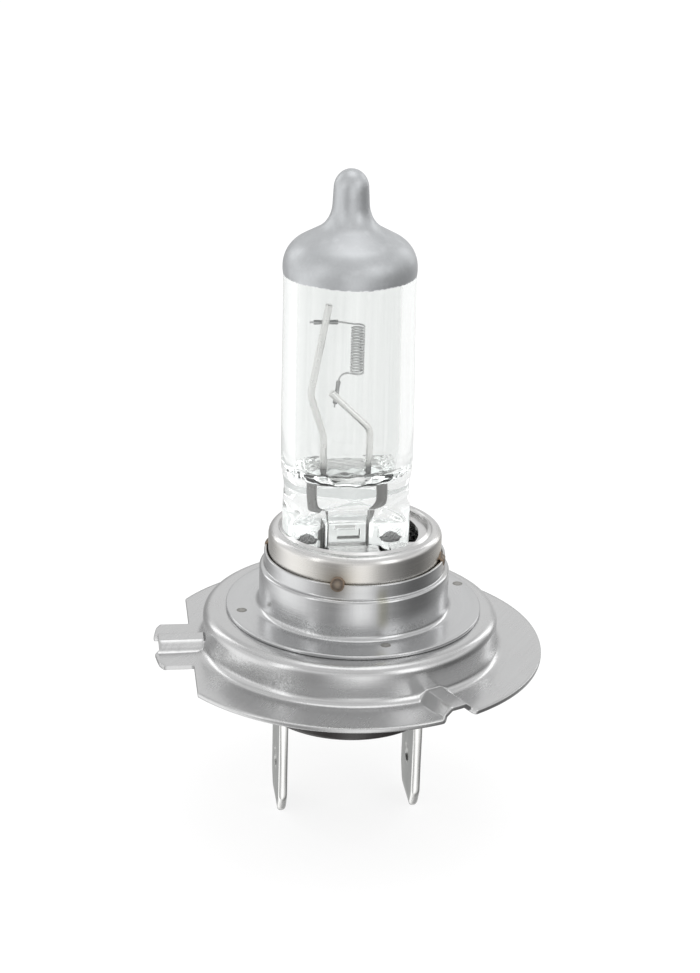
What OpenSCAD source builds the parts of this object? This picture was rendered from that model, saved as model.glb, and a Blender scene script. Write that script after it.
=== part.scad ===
// Single-filament halogen headlight bulb on a pre-focus cap, in millimetres.
// The origin is where the axis of the cap's drum meets the top face of its flange.
// +Z runs along the drum towards the glass tip, and the key tab points along -X.

/* [Cap] */
// Outer radius of the drum that centres the bulb in its holder
drum_r = 12.95; // [12.7:0.05:13.1]
// Height of the drum's top above the flange
drum_h = 3.35; // [3:0.05:3.6]
// Radius of the round flange
flange_r = 17; // [16.6:0.1:17.4]
// Thickness of the cap's drawn sheet
cap_sheet = 0.4; // [0.3:0.05:0.5]
// Distance from the axis to the flange's straight side
flat_x = 14; // [13.8:0.1:14.4]
// Width of the key tab
tab_w = 8.4; // [7.6:0.1:9]
// Distance from the axis to the end of the key tab
tab_r = 17.4; // [17:0.1:17.8]
// Height of the three pressed ribs above the flange
rib_h = 0.8; // [0.5:0.05:0.9]

/* [Focus sleeve] */
// Radius of the sleeve's flat disc
disc_r = 11.2; // [10.8:0.05:11.6]
// Outer radius of the sleeve's wide lower part
sleeve_r = 8.3; // [8.1:0.05:8.5]
// Height of the sleeve's upper lip
lip_z = 8.65; // [8.2:0.05:9]
// Sideways shift of the sleeve that brought the filament onto the axis
focus_shift = 0.25; // [0:0.05:0.5]

/* [Collar] */
// Outer radius of the collar ring that carries the glass
collar_r = 7.55; // [7.4:0.05:7.7]
// Height of the collar's rounded crest
collar_z = 10.95; // [10.6:0.05:11.3]
// Thickness of the collar's and the sleeve's sheet
thin_sheet = 0.35; // [0.25:0.05:0.4]

/* [Glass] */
// Outer radius of the glass tube
glass_r = 5.65; // [5.5:0.05:5.8]
// Wall thickness of the glass tube
glass_wall = 1.15; // [0.9:0.05:1.3]
// Height of the glass tip
tip_z = 42.4; // [41.8:0.1:43]
// Height where the tube starts to close into the dome
dome_z = 34.3; // [33.8:0.1:34.8]
// Thickness of the pinched seal between its two wide faces
pinch_t = 4.2; // [3.8:0.1:4.6]
// Sideways place of the glass
glass_x = -0.64; // [-0.8:0.02:0]
// Front-to-back place of the glass and of its two lead posts
glass_y = -0.4; // [-0.5:0.05:0]
// Lean of the glass towards the key tab, in degrees
glass_lean = 0.61; // [0:0.01:0.8]

/* [Filament] */
// Height of the filament's lower end
coil_z0 = 25; // [24.8:0.1:25.2]
// Length of the coiled part
coil_len = 4.1; // [3.9:0.1:4.3]
// Outer diameter of the coil
coil_d = 1.25; // [1.1:0.05:1.35]
// Diameter of the wire that the coil is wound from
coil_wire = 0.15; // [0.12:0.01:0.18]
// Number of whole turns
coil_turns = 16; // [12:1:17]
// Diameter of the two lead posts
post_d = 0.58; // [0.5:0.02:0.62]
// Distance between the lead posts where they enter the seal
post_gap = 4; // [3.8:0.1:4.2]
// Outer diameter of the sleeves crimped on the filament's legs
crimp_d = 0.4; // [0.36:0.02:0.44]

/* [Terminals and insulator] */
// Width of a terminal blade
blade_w = 6.3; // [6.2:0.05:6.4]
// Thickness of a terminal blade
blade_t = 0.8; // [0.77:0.01:0.84]
// Distance from the axis to the middle of each blade
blade_x = 6; // [5.8:0.1:6.2]
// Height of the blades' tips
blade_z = -16; // [-16.5:0.1:-15.5]
// Diameter of the detent hole in a blade
detent_d = 1.8; // [1.6:0.1:2]
// Height of the detent hole
detent_z = -11.5; // [-12:0.1:-11]
// Radius of the insulator below the flange
insulator_r = 8; // [7.6:0.1:8.4]
// Height of the insulator's underside
insulator_z = -6; // [-6.5:0.1:-5.5]

/* [Hidden] */

$fn = 64;
// Overshoot of a cutting shape past the face that it opens
over = 1;

// Cap
drum_round = 0.9;
foot_round = 0.8;
drum_hole_r = 7.7;
rib_foot_w = 3.4;
rib_top_w = 1.3;
rib_angles = [64, -64];
rim_inset = 0.4;
tab_corner = 0.7;

// Focus sleeve
sleeve_foot_round = 0.5;
sleeve_step_z = 7.35;
sleeve_step_round = 0.3;
disc_weld_d = 0.95;
// Distance from the sleeve's axis and direction of each spot weld
disc_weld_places = [[10, -173], [9.25, -80], [10.4, 18], [9.8, 105]];

// Collar
collar_round = 0.8;
collar_bottom_z = 6;
collar_recess = 0.35;
collar_recess_r = 6.45;
plate_z = collar_z - collar_recess;
opening_x = -0.72;
opening_w = 12.3;
opening_h = 5.7;
slot_w = 1;
slot_depth = 2;
tongue_x = [-2.85, 1.45];
tongue_drop = 2.4;
collar_weld_d = 0.85;
collar_weld_angle = 72;
weld_depth = 0.12;

// Glass
pivot_z = 10;
dome_round = 2.6;
dome_slope = 28;
neck_round = 2.4;
tip_r = 1.55;
cavity_z = 15.6;
cavity_round = 1.8;
seal_bottom_z = 7.4;
seal_top_z = 15.4;
seal_flat_z = 12.4;
pad_x = 2.75;
pad_step = 0.45;
window_w = 1.9;
window_h = 0.9;
window_z = 11.1;
nub_r = 0.8;
nub_x = 3.6;
nub_y = 2.55;
nub_lift = 0.35;
nub_gap = 0.08;
coat_t = 0.06;
coat_z = 33.7;

// Filament and lead posts
coil_r = (coil_d - coil_wire) / 2;
coil_steps = 12;
wire_sides = 6;
bend_r = 0.6;
post_sides = 16;
weld_sink = 0.06;
leg_y = glass_y + (post_d + crimp_d) / 2 - weld_sink;
leg_tail = 0.3;
upper_leg_z = coil_z0 + coil_len + 0.34;
upper_sleeve_x = [-3.81, -1.73];
lower_sleeve_top = [-1.55, leg_y, 24.25];
lower_sleeve_end = [-1.82, leg_y, 22.25];
lower_bend = 0.7;
long_bends = [[-2.76, 19.5], [-3.95, 23.2], [-2.54, 30.95]];
short_bends = [[1.2, 20.1], [-2.22, 23.38]];

// Terminals and insulator
ear_top_z = 0;
ear_w = 2.4;
ear_over = 0.6;
blade_taper_z = 2;
blade_tip_w = 3.9;
blade_tip_t = 0.4;
insulator_round = 0.4;
insulator_collar_z = 0.5;
insulator_top_z = 2.6;
chamber_r = 7.3;
bead_d = 1.3;
bead_h = 0.4;

// Points of an arc about c with radius r, from angle a to angle b
function arc(c, r, a, b, n = 10) =
    [for (i = [0:n]) c + r * [cos(a + (b - a) * i / n), sin(a + (b - a) * i / n)]];

// A unit vector
function unit(v) = v / norm(v);

// Place of the glass, its seal and its coating
module in_glass_place() {
    translate([glass_x, glass_y, pivot_z])
        rotate([0, -glass_lean, 0])
            translate([0, 0, -pivot_z])
                children();
}

// Place of the focus sleeve and the collar, shifted together in focusing
module in_sleeve_place() {
    translate([focus_shift, 0, 0])
        children();
}

// A round rod between two points
module rod(a, b, d) {
    v = b - a;
    translate(a)
        rotate([0, acos(v[2] / norm(v)), atan2(v[1], v[0])])
            cylinder(h = norm(v), d = d);
}

// A flat path with each of its inner points rounded to radius r
function rounded_path(path, r, n = 5) =
    let (last = len(path) - 1,
         along = [for (i = [0:last - 1]) unit(path[i + 1] - path[i])])
    concat([path[0]],
           [for (i = [1:last - 1])
               let (turn = atan2(cross(along[i - 1], along[i]), along[i - 1] * along[i]),
                    side = sign(turn),
                    normal = side * [-along[i - 1][1], along[i - 1][0]],
                    start = path[i] - r * tan(abs(turn) / 2) * along[i - 1],
                    from = atan2(-normal[1], -normal[0]))
               each arc(start + r * normal, r, from, from + turn, n)],
           [path[last]]);

// A tube swept along a smooth list of points that never runs along the vector across
module swept_wire(points, d, sides, across) {
    last = len(points) - 1;
    tangents = [for (i = [0:last]) unit(points[min(i + 1, last)] - points[max(i - 1, 0)])];
    sideways = [for (t = tangents) unit(cross(t, across))];
    rings = [for (i = [0:last], k = [0:sides - 1])
        points[i] + d / 2 * (cos(360 * k / sides) * sideways[i]
                             + sin(360 * k / sides) * cross(sideways[i], tangents[i]))];
    walls = [for (i = [0:last - 1], k = [0:sides - 1])
        [i * sides + k, (i + 1) * sides + k,
         (i + 1) * sides + (k + 1) % sides, i * sides + (k + 1) % sides]];
    first_cap = [for (k = [0:sides - 1]) k];
    last_cap = [for (k = [sides - 1:-1:0]) last * sides + k];
    polyhedron(rings, concat([first_cap], walls, [last_cap]));
}

// Outline of the glass from the axis at the tip down to z, grown by g
function dome_profile(z, g = 0) =
    let (shoulder = arc([glass_r - dome_round, dome_z], dome_round + g, 0, 90 - dome_slope),
         s = shoulder[len(shoulder) - 1],
         neck = neck_round - g,
         neck_x = tip_r + neck_round,
         neck_z = s[1] + (neck - (neck_x - s[0]) * sin(dome_slope)) / cos(dome_slope))
    concat([[glass_r + g, z]],
           shoulder,
           arc([neck_x, neck_z], neck, 270 - dome_slope, 180),
           arc([0, tip_z - tip_r], tip_r + g, 0, 90));

// Solid glass of the tube, the dome and the exhaust tip
module glass_body(z, g = 0) {
    rotate_extrude()
        polygon(concat([[0, z]], dome_profile(z, g)));
}

// Gas space inside the tube, rounded at both ends
module glass_cavity() {
    r = glass_r - glass_wall;
    inner_round = dome_round - glass_wall / 2;
    top_z = dome_z + 2.1;
    rotate_extrude()
        polygon(concat([[0, cavity_z]],
                       arc([r - cavity_round, cavity_z + cavity_round], cavity_round, -90, 0),
                       arc([r - inner_round, top_z - inner_round], inner_round, 0, 90),
                       [[0, top_z]]));
}

// Slab that the pinching jaws take off one wide face, flat below and sloped above
module jaw_cut(half_t, x0, x1) {
    rotate([90, 0, 90])
        translate([0, 0, x0])
            linear_extrude(x1 - x0)
                polygon([[-glass_r - over, seal_bottom_z - over],
                         [-half_t, seal_bottom_z - over],
                         [-half_t, seal_flat_z],
                         [-glass_r, seal_top_z],
                         [-glass_r - over, seal_top_z]]);
}

// Pinched seal: the end of the tube pressed flat, thinner between its two pads
module pinched_seal() {
    difference() {
        translate([0, 0, seal_bottom_z])
            cylinder(h = seal_top_z + over - seal_bottom_z, r = glass_r);
        for (side = [0, 1])
            mirror([0, side, 0]) {
                jaw_cut(pinch_t / 2, -glass_r - over, glass_r + over);
                jaw_cut(pinch_t / 2 - pad_step, -pad_x, pad_x);
                translate([-window_w / 2, -pinch_t / 2, window_z - window_h / 2])
                    cube([window_w, 2 * pad_step, window_h]);
            }
    }
    for (side = [-1, 1], face = [-1, 1])
        translate([side * nub_x, face * nub_y, 0])
            difference() {
                translate([0, 0, plate_z + nub_lift])
                    sphere(r = nub_r);
                translate([-nub_r - over, -nub_r - over, plate_z + nub_gap - 2 * nub_r])
                    cube([2 * (nub_r + over), 2 * (nub_r + over), 2 * nub_r]);
            }
}

// Side place of a lead post at height z in the leaning seal
function seal_x(x, z) = glass_x + x - (z - pivot_z) * sin(glass_lean);

// A lead post: straight up through the seal, then bent in the plane of both posts
module lead_post(x, bends) {
    foot_z = ear_top_z + bead_h;
    path = rounded_path(concat([[seal_x(x, foot_z), foot_z]], bends), bend_r);
    swept_wire([for (p = path) [p[0], glass_y, p[1]]], post_d, post_sides, [0, 1, 0]);
}

module glass_bulb() {
    color([0.86, 0.91, 0.93, 0.45])
        difference() {
            in_glass_place()
                difference() {
                    union() {
                        glass_body(seal_top_z);
                        pinched_seal();
                    }
                    glass_cavity();
                }
            lead_post(-post_gap / 2, long_bends);
            lead_post(post_gap / 2, short_bends);
        }
}

module tip_coating() {
    color("silver")
        in_glass_place()
            difference() {
                glass_body(coat_z, coat_t);
                glass_body(coat_z - over);
            }
}

// Centre line of the filament: upper leg, coil, lower leg and its downward bend
function filament_path() =
    let (n = coil_steps * (coil_turns + 0.5),
         top = [0, coil_r, coil_z0 + coil_len],
         leg_end = [upper_sleeve_x[1], leg_y, upper_leg_z],
         leg_in = [for (t = [0:0.2:0.8]) leg_end + (top - leg_end) * t * t * (3 - 2 * t)
                                         + [(t - t * t * (3 - 2 * t)) * (top - leg_end)[0], 0, 0]],
         coil = [for (i = [0:n])
             [coil_r * cos(90 - 360 * i / coil_steps), coil_r * sin(90 - 360 * i / coil_steps),
              coil_z0 + coil_len * (1 - i / n)]],
         out = unit(lower_sleeve_end - lower_sleeve_top),
         corner = lower_sleeve_top - lower_bend * out,
         start = [0, -coil_r, coil_z0],
         leg_out = [for (t = [0.2:0.2:1]) start + (corner + [lower_bend, 0, 0] - start) * t],
         bend = [for (t = [0.25:0.25:1])
             (1 - t) * (1 - t) * (corner + [lower_bend, 0, 0]) + 2 * t * (1 - t) * corner
             + t * t * lower_sleeve_top])
    concat([[upper_sleeve_x[0] - leg_tail, leg_y, upper_leg_z]], leg_in, coil, leg_out, bend,
           [lower_sleeve_end + leg_tail * out]);

module filament() {
    color("dimgray")
        swept_wire(filament_path(), coil_wire, wire_sides, [0, 0, 1]);
}

// Rod along a filament leg: the crimped sleeve's outside, or the bore that grips the leg
module upper_leg_rod(d) {
    rod([upper_sleeve_x[0], leg_y, upper_leg_z], [upper_sleeve_x[1], leg_y, upper_leg_z], d);
}

module lower_leg_rod(d) {
    rod(lower_sleeve_top, lower_sleeve_end, d);
}

module upper_leg_sleeve() {
    color("gray")
        difference() {
            upper_leg_rod(crimp_d);
            upper_leg_rod(coil_wire);
        }
}

module lower_leg_sleeve() {
    color("gray")
        difference() {
            lower_leg_rod(crimp_d);
            lower_leg_rod(coil_wire);
        }
}

// Each post is dented where its crimped sleeve is welded across it
module long_lead_post() {
    color("lightgray")
        difference() {
            lead_post(-post_gap / 2, long_bends);
            upper_leg_rod(crimp_d);
        }
}

module short_lead_post() {
    color("lightgray")
        difference() {
            lead_post(post_gap / 2, short_bends);
            lower_leg_rod(crimp_d);
        }
}

// Closed sheet outline of the collar: wall, rounded crest and sunk top plate
function collar_profile() =
    let (c = [collar_r - collar_round, collar_z - collar_round],
         step = collar_recess_r)
    concat([[collar_r, collar_bottom_z]],
           arc(c, collar_round, 0, 90),
           [[step + 0.25, collar_z], [step, plate_z], [0, plate_z],
            [0, plate_z - thin_sheet], [step + thin_sheet / 2, plate_z - thin_sheet]],
           arc(c, collar_round - thin_sheet, 60, 0),
           [[collar_r - thin_sheet, collar_bottom_z]]);

// Opening for the seal: a slot with curved ends, and a relief each side of the tongues
module collar_opening() {
    translate([opening_x, glass_y]) {
        intersection() {
            circle(d = opening_w);
            square([opening_w, opening_h], center = true);
        }
        for (x = [tongue_x[0] - opening_x - slot_w, tongue_x[1] - opening_x], side = [0, 1])
            mirror([0, side])
                translate([x, 0])
                    square([slot_w, opening_h / 2 + slot_depth]);
    }
}

// Spring tongue bent down from the plate's edge towards the seal
module collar_tongue() {
    edge = opening_h / 2;
    root = edge + 0.75;
    face = pinch_t / 2 - pad_step;
    rotate([90, 0, 90])
        linear_extrude(tongue_x[1] - tongue_x[0])
            polygon([[-root, plate_z - thin_sheet], [-root, plate_z],
                     [-edge, plate_z], [-face - 0.1, plate_z - 1.1],
                     [-face - 0.1, plate_z - tongue_drop],
                     [-face - 0.1 - thin_sheet, plate_z - tongue_drop],
                     [-face - 0.1 - thin_sheet, plate_z - 1.1]]);
}

module collar_ring() {
    color([0.78, 0.76, 0.72])
        difference() {
            in_sleeve_place() {
                difference() {
                    rotate_extrude()
                        polygon(collar_profile());
                    translate([0, 0, plate_z - thin_sheet - over])
                        linear_extrude(thin_sheet + 2 * over)
                            collar_opening();
                }
                for (side = [0, 1])
                    translate([tongue_x[0], glass_y, 0])
                        mirror([0, side, 0])
                            collar_tongue();
            }
            for (i = [0:3])
                collar_weld_shape(i);
        }
}

// Fused spot that bridges the collar's wall and the lip of the sleeve
module collar_weld_shape(i) {
    in_sleeve_place()
        rotate([0, 0, collar_weld_angle + 90 * i])
            translate([collar_r - thin_sheet / 2, 0, lip_z - 0.05])
                rotate([0, 90, 0])
                    cylinder(h = 1.5 * thin_sheet + weld_depth, d = collar_weld_d, $fn = 32);
}

module collar_weld(i) {
    color([0.45, 0.36, 0.28])
        collar_weld_shape(i - 1);
}

// Closed sheet outline of the focus sleeve: disc, foot, wide part, step and lip
function sleeve_profile() =
    let (t = thin_sheet,
         bottom = drum_h,
         foot = [sleeve_r + sleeve_foot_round, bottom + t + sleeve_foot_round],
         lip_r = collar_r + t,
         step = [sleeve_r - sleeve_step_round, sleeve_step_z - sleeve_step_round])
    concat([[disc_r, bottom], [disc_r, bottom + t]],
           arc(foot, sleeve_foot_round, 270, 180),
           arc(step, sleeve_step_round, 0, 90, 6),
           [[lip_r, sleeve_step_z + 0.1], [lip_r, lip_z], [collar_r, lip_z],
            [collar_r, sleeve_step_z - t], [sleeve_r - t, sleeve_step_z - 2 * t]],
           arc(foot, sleeve_foot_round + t, 180, 270));

module focus_sleeve() {
    color([0.75, 0.76, 0.78])
        difference() {
            in_sleeve_place()
                rotate_extrude()
                    polygon(sleeve_profile());
            for (i = [0:3]) {
                collar_weld_shape(i);
                disc_weld_shape(i);
            }
        }
}

// Spot weld nugget through the sleeve's disc and the drum's top
module disc_weld_shape(i) {
    in_sleeve_place()
        rotate([0, 0, disc_weld_places[i][1]])
            translate([disc_weld_places[i][0], 0, drum_h - cap_sheet])
                cylinder(h = cap_sheet + thin_sheet, d = disc_weld_d, $fn = 32);
}

module disc_weld(i) {
    color([0.5, 0.5, 0.48])
        disc_weld_shape(i - 1);
}

// Closed sheet outline of the drum, from its foot to the hole in its top
function drum_profile() =
    let (foot = [drum_r + foot_round, foot_round],
         crown = [drum_r - drum_round, drum_h - drum_round])
    concat([[drum_r + foot_round, -cap_sheet]],
           arc(foot, foot_round, 270, 180),
           arc(crown, drum_round, 0, 90),
           [[drum_hole_r, drum_h], [drum_hole_r, drum_h - cap_sheet]],
           arc(crown, drum_round - cap_sheet, 90, 0),
           arc(foot, foot_round + cap_sheet, 180, 270));

// Flange outline: a disc with one straight side and the key tab
module flange_outline() {
    difference() {
        circle(r = flange_r);
        translate([-flange_r - over - flat_x, -flange_r - over])
            square([flange_r + over, 2 * (flange_r + over)]);
    }
    intersection() {
        circle(r = tab_r);
        polygon([[-flat_x + over, -tab_w / 2], [-flat_x + over, tab_w / 2],
                 [-tab_r + tab_corner, tab_w / 2], [-tab_r, tab_w / 2 - 2 * tab_corner],
                 [-tab_r, -tab_w / 2 + 2 * tab_corner], [-tab_r + tab_corner, -tab_w / 2]]);
    }
}

// Section of a pressed rib: its top face lifted by g above the rib's own height
function rib_top(g) =
    let (slope_w = (rib_foot_w - rib_top_w) / 2)
    [[-rib_top_w / 2 - slope_w, g], [-rib_top_w / 2, rib_h + g],
     [rib_top_w / 2, rib_h + g], [rib_top_w / 2 + slope_w, g]];

// Runs a section that lies across +X out along a radius, from r0 to r1
module along_radius(angle, r0, r1) {
    rotate([0, 0, angle])
        translate([r0, 0, 0])
            rotate([90, 0, 90])
                linear_extrude(r1 - r0)
                    children();
}

module rib_sheet(angle, r1) {
    upper = rib_top(0);
    lower = rib_top(-cap_sheet);
    along_radius(angle, drum_r - cap_sheet / 2, r1)
        polygon(concat(upper, [for (i = [3:-1:0]) lower[i]]));
}

module rib_hollow(angle) {
    along_radius(angle, drum_r, flange_r + over)
        polygon(concat(rib_top(0), [[rib_foot_w / 2, -2 * cap_sheet], [-rib_foot_w / 2, -2 * cap_sheet]]));
}

module base_flange() {
    color([0.74, 0.75, 0.76])
        difference() {
            union() {
                difference() {
                    union() {
                        rotate_extrude()
                            polygon(drum_profile());
                        translate([0, 0, -cap_sheet])
                            linear_extrude(cap_sheet)
                                difference() {
                                    flange_outline();
                                    circle(r = drum_r + foot_round);
                                }
                    }
                    for (angle = concat(rib_angles, [180]))
                        rib_hollow(angle);
                }
                for (angle = rib_angles)
                    rib_sheet(angle, flange_r - rim_inset);
                rib_sheet(180, tab_r - rim_inset);
            }
            for (i = [0:3])
                disc_weld_shape(i);
        }
}

// Closed outline of the insulator: collar inside the drum, body below, open chamber
function insulator_profile() =
    let (edge = [insulator_r - insulator_round, insulator_z + insulator_round],
         floor_z = ear_top_z - blade_t,
         wide_r = drum_r - cap_sheet)
    concat([[0, insulator_z]],
           arc(edge, insulator_round, 270, 360, 6),
           [[insulator_r, insulator_collar_z], [wide_r, insulator_collar_z],
            [wide_r, drum_h - drum_round], [wide_r - 0.5, insulator_top_z],
            [chamber_r, insulator_top_z], [chamber_r, floor_z], [0, floor_z]]);

module insulator() {
    color([0.1, 0.09, 0.09])
        difference() {
            rotate_extrude()
                polygon(insulator_profile());
            for (side = [-1, 1])
                translate([side * blade_x, 0, insulator_z / 2])
                    cube([blade_t, blade_w, -insulator_z + 2 * over], center = true);
        }
}

// Flat face of a blade, with its tapered tip and the detent hole
module blade_outline() {
    difference() {
        polygon([[-blade_w / 2, ear_top_z], [blade_w / 2, ear_top_z],
                 [blade_w / 2, blade_z + blade_taper_z], [blade_tip_w / 2, blade_z],
                 [-blade_tip_w / 2, blade_z], [-blade_w / 2, blade_z + blade_taper_z]]);
        translate([0, detent_z])
            circle(d = detent_d);
    }
}

// Terminal on the +X side, with an ear that reaches in to the lead post at post_x
module terminal(post_x) {
    difference() {
        union() {
            translate([blade_x - blade_t / 2, 0, 0])
                rotate([90, 0, 90])
                    linear_extrude(blade_t)
                        blade_outline();
            translate([post_x - ear_over, glass_y - ear_w / 2, ear_top_z - blade_t])
                cube([blade_x - post_x + ear_over, ear_w, blade_t]);
        }
        for (face = [0, 1])
            translate([blade_x, 0, blade_z])
                mirror([face, 0, 0])
                    rotate([90, 0, 0])
                        translate([0, 0, -blade_w])
                            linear_extrude(2 * blade_w)
                                polygon([[blade_tip_t / 2, -over], [blade_t, -over],
                                         [blade_t, 1.2], [blade_t / 2, 1.2],
                                         [blade_tip_t / 2, 0]]);
    }
}

left_post_x = seal_x(-post_gap / 2, ear_top_z);
right_post_x = seal_x(post_gap / 2, ear_top_z);

module left_terminal() {
    color("gainsboro")
        mirror([1, 0, 0])
            terminal(-left_post_x);
}

module right_terminal() {
    color("gainsboro")
        terminal(right_post_x);
}

// Weld bead between the foot of a lead post and its terminal's ear
module lead_bead(x) {
    color("gray")
        translate([x, glass_y, ear_top_z])
            cylinder(h = bead_h, d1 = bead_d, d2 = bead_d * 0.75);
}

module left_lead_weld() {
    lead_bead(left_post_x);
}

module right_lead_weld() {
    lead_bead(right_post_x);
}

glass_bulb();
tip_coating();
filament();
upper_leg_sleeve();
lower_leg_sleeve();
long_lead_post();
short_lead_post();
collar_ring();
collar_weld(1);  // collar_weld_1
collar_weld(2);  // collar_weld_2
collar_weld(3);  // collar_weld_3
collar_weld(4);  // collar_weld_4
focus_sleeve();
disc_weld(1);  // disc_weld_1
disc_weld(2);  // disc_weld_2
disc_weld(3);  // disc_weld_3
disc_weld(4);  // disc_weld_4
base_flange();
insulator();
left_terminal();
right_terminal();
left_lead_weld();
right_lead_weld();
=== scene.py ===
"""Looks of a halogen headlight bulb on a pre-focus cap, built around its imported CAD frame.

Lengths are in millimetres and become metres when a mesh is made. The origin is where the axis of
the cap's drum meets the top face of its flange, +Z runs towards the glass tip and the key tab
points along -X. Every surface is a grid of points worked out with numpy from a formula.
"""

import math
import bmesh
import bpy
import numpy as np
from mathutils import Matrix, Vector


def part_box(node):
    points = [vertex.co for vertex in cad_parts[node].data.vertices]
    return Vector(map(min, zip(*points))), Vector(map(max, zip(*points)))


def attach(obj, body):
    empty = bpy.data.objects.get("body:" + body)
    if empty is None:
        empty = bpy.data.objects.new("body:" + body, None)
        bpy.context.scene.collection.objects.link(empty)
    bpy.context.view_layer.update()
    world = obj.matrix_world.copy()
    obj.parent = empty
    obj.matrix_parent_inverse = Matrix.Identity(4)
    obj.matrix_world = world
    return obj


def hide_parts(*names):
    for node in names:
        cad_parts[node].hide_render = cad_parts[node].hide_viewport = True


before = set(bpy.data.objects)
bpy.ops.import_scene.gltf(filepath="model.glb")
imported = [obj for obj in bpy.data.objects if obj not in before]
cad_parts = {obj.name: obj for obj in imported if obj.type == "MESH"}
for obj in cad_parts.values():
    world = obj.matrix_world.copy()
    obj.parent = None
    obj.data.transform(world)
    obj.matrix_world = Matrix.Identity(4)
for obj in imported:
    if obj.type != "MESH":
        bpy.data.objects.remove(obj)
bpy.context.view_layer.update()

MM = 0.001
# Points closer than this, in metres, are one point: poles and seams close
MERGE = 3e-7
TURN = 2 * np.pi
UP = np.array([0, 0, 1.0])


def span(node):
    """Lowest and highest corner of a CAD node, in millimetres."""
    low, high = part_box(node)
    return np.array(low) / MM, np.array(high) / MM


# ---- Sizes, in millimetres, taken from the frame where it gives them ----
flange_low, flange_high = span("base_flange")
sleeve_low, sleeve_high = span("focus_sleeve")
collar_low, collar_high = span("collar_ring")
insulator_low, insulator_high = span("insulator")
blade_low, blade_high = span("right_terminal")

FLANGE_R = flange_high[1]
TAB_R = -flange_low[0]
DRUM_H = flange_high[2]
CAP_SHEET = -flange_low[2]
DRUM_R = 12.95
DRUM_ROUND = 0.9
FOOT_ROUND = 0.8
DRUM_HOLE_R = 7.7
# Depth of the dent in the drum's wall behind the key tab
DENT_DEPTH = 0.4
# The flange's straight side, and the directions of its ends
FLAT_X = 14
FLAT_END_ANGLES = (145.5, -145.5)
# The key tab: its width, how far back its corners are clipped, the normal of the clipped side,
# and the directions of the tab's foot
TAB_W = 8.4
TAB_CLIP = 0.7
TAB_CLIP_NORMAL = (0.8944, 0.4472)
TAB_FOOT_ANGLES = (163.5, -163.5)
RIB_H = 0.8
RIB_FOOT_W = 3.4
RIB_TOP_W = 1.3
RIM_INSET = 0.4
RIB_ANGLES = (64, -64, 180)

SHIFT = (sleeve_low[0] + sleeve_high[0]) / 2
DISC_R = sleeve_high[1]
DISC_Z = sleeve_low[2]
LIP_Z = sleeve_high[2]
SLEEVE_R = 8.3
STEP_Z = 7.35
THIN = 0.35

COLLAR_R = collar_high[1]
CREST_Z = collar_high[2]
CREST_ROUND = 0.8
COLLAR_BOTTOM_Z = 6
RECESS_R = 6.45
PLATE_Z = CREST_Z - 0.35
PLATE_R = RECESS_R - 0.12
# The opening for the seal: a circle about OPENING_X off the collar's axis, cut at OPENING_W
OPENING_R, OPENING_X, OPENING_W = 6.15, -0.72, 2.85
# The tongues' two sides in x, and the slots beside them
TONGUE = (-2.85, 1.45)
SLOT_W, SLOT_END, SLOT_ROUND = 1.0, 4.85, 0.3
# Directions of the collar's welds, and distance and direction of the disc's, from the sleeve's axis
WELD_ANGLES = [72 + 90 * i for i in range(4)]
DISC_WELD_PLACES = [(10, -173), (9.25, -80), (10.4, 18), (9.8, 105)]
COLLAR_WELD_R, DISC_WELD_R, BEAD_R = 0.6, 0.47, 0.65

GLASS_X, GLASS_Y = -0.64, -0.4
GLASS_LEAN = math.radians(0.61)
PIVOT_Z = 10
GLASS_R = 5.65
GLASS_WALL = 1.15
GLASS_TIP_Z = 42.4
DOME_Z = 34.3
COAT_Z = 33.7
COAT_T = 0.05
COAT_GAP = 0.012
SEAL_BOTTOM_Z = 7.4
# Half thickness of the pinched seal, and where and how steeply it widens to the tube
PINCH = 2.1
SLOPE_Z, SLOPE = 12.05, 1.1

POST_X = 2
POST_D = 0.62
CRIMP_D = 0.4
WIRE_D = 0.15
COIL_D = 1.25
COIL_Z0 = 25
COIL_LEN = 4.1
COIL_TURNS = 16.5
LEG_Y = GLASS_Y + (POST_D + CRIMP_D) / 2 - 0.06
UPPER_LEG_Z = COIL_Z0 + COIL_LEN + 0.34
# Ends of the two crimped sleeves, and how far the wire stands out of them
UPPER_SLEEVE = np.array([[-3.81, LEG_Y, UPPER_LEG_Z], [-1.73, LEG_Y, UPPER_LEG_Z]])
LOWER_SLEEVE = np.array([[-1.55, LEG_Y, 24.25], [-1.82, LEG_Y, 22.25]])
STUB = 0.34

BLADE_T = 0.8
BLADE_W = blade_high[1] - blade_low[1]
BLADE_X = blade_high[0] - BLADE_T / 2
BLADE_Z = blade_low[2]
DETENT_D = 1.8
DETENT_Z = -11.5
# The blade's tapered end, and the ear's width
TIP_W, TIP_H = 3.9, 2
EAR_W = 2.4

# Size of the turned lines' pattern across the axis, and from line to line
GRAIN_REACH, GRAIN_PITCH = 7.0, 0.16

# Tone of the mirrored room round the horizon: direction in degrees from +X, and level
ROOM = [(-180, 1.5), (-165, 1.35), (-150, 0.95), (-135, 0.55), (-120, 0.42), (-105, 0.95),
        (-92, 1.5), (-80, 1.4), (-65, 0.65), (-45, 0.36), (-22, 0.18), (0, 0.2), (20, 0.36),
        (45, 0.62), (70, 0.8), (95, 0.55), (115, 0.42), (132, 0.6), (150, 1.1), (165, 1.5),
        (180, 1.5)]
# Its tone from the horizon up to the zenith
SKY = [(0.0, 0.6), (0.3, 0.95), (0.45, 1.16), (0.62, 0.72), (0.8, 0.95), (1.0, 0.85)]


# ---- Curves ----
def arc(centre, radius, start, end, count=9):
    """Arc of a circle: centre + radius (cos a, sin a), with a even from start to end in degrees."""
    a = np.radians(np.linspace(start, end, count))
    return np.stack([centre[0] + radius * np.cos(a), centre[1] + radius * np.sin(a)], 1)


def chain(*parts):
    """One list of points from several."""
    return np.concatenate([np.atleast_2d(np.asarray(p, float)) for p in parts])


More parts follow.
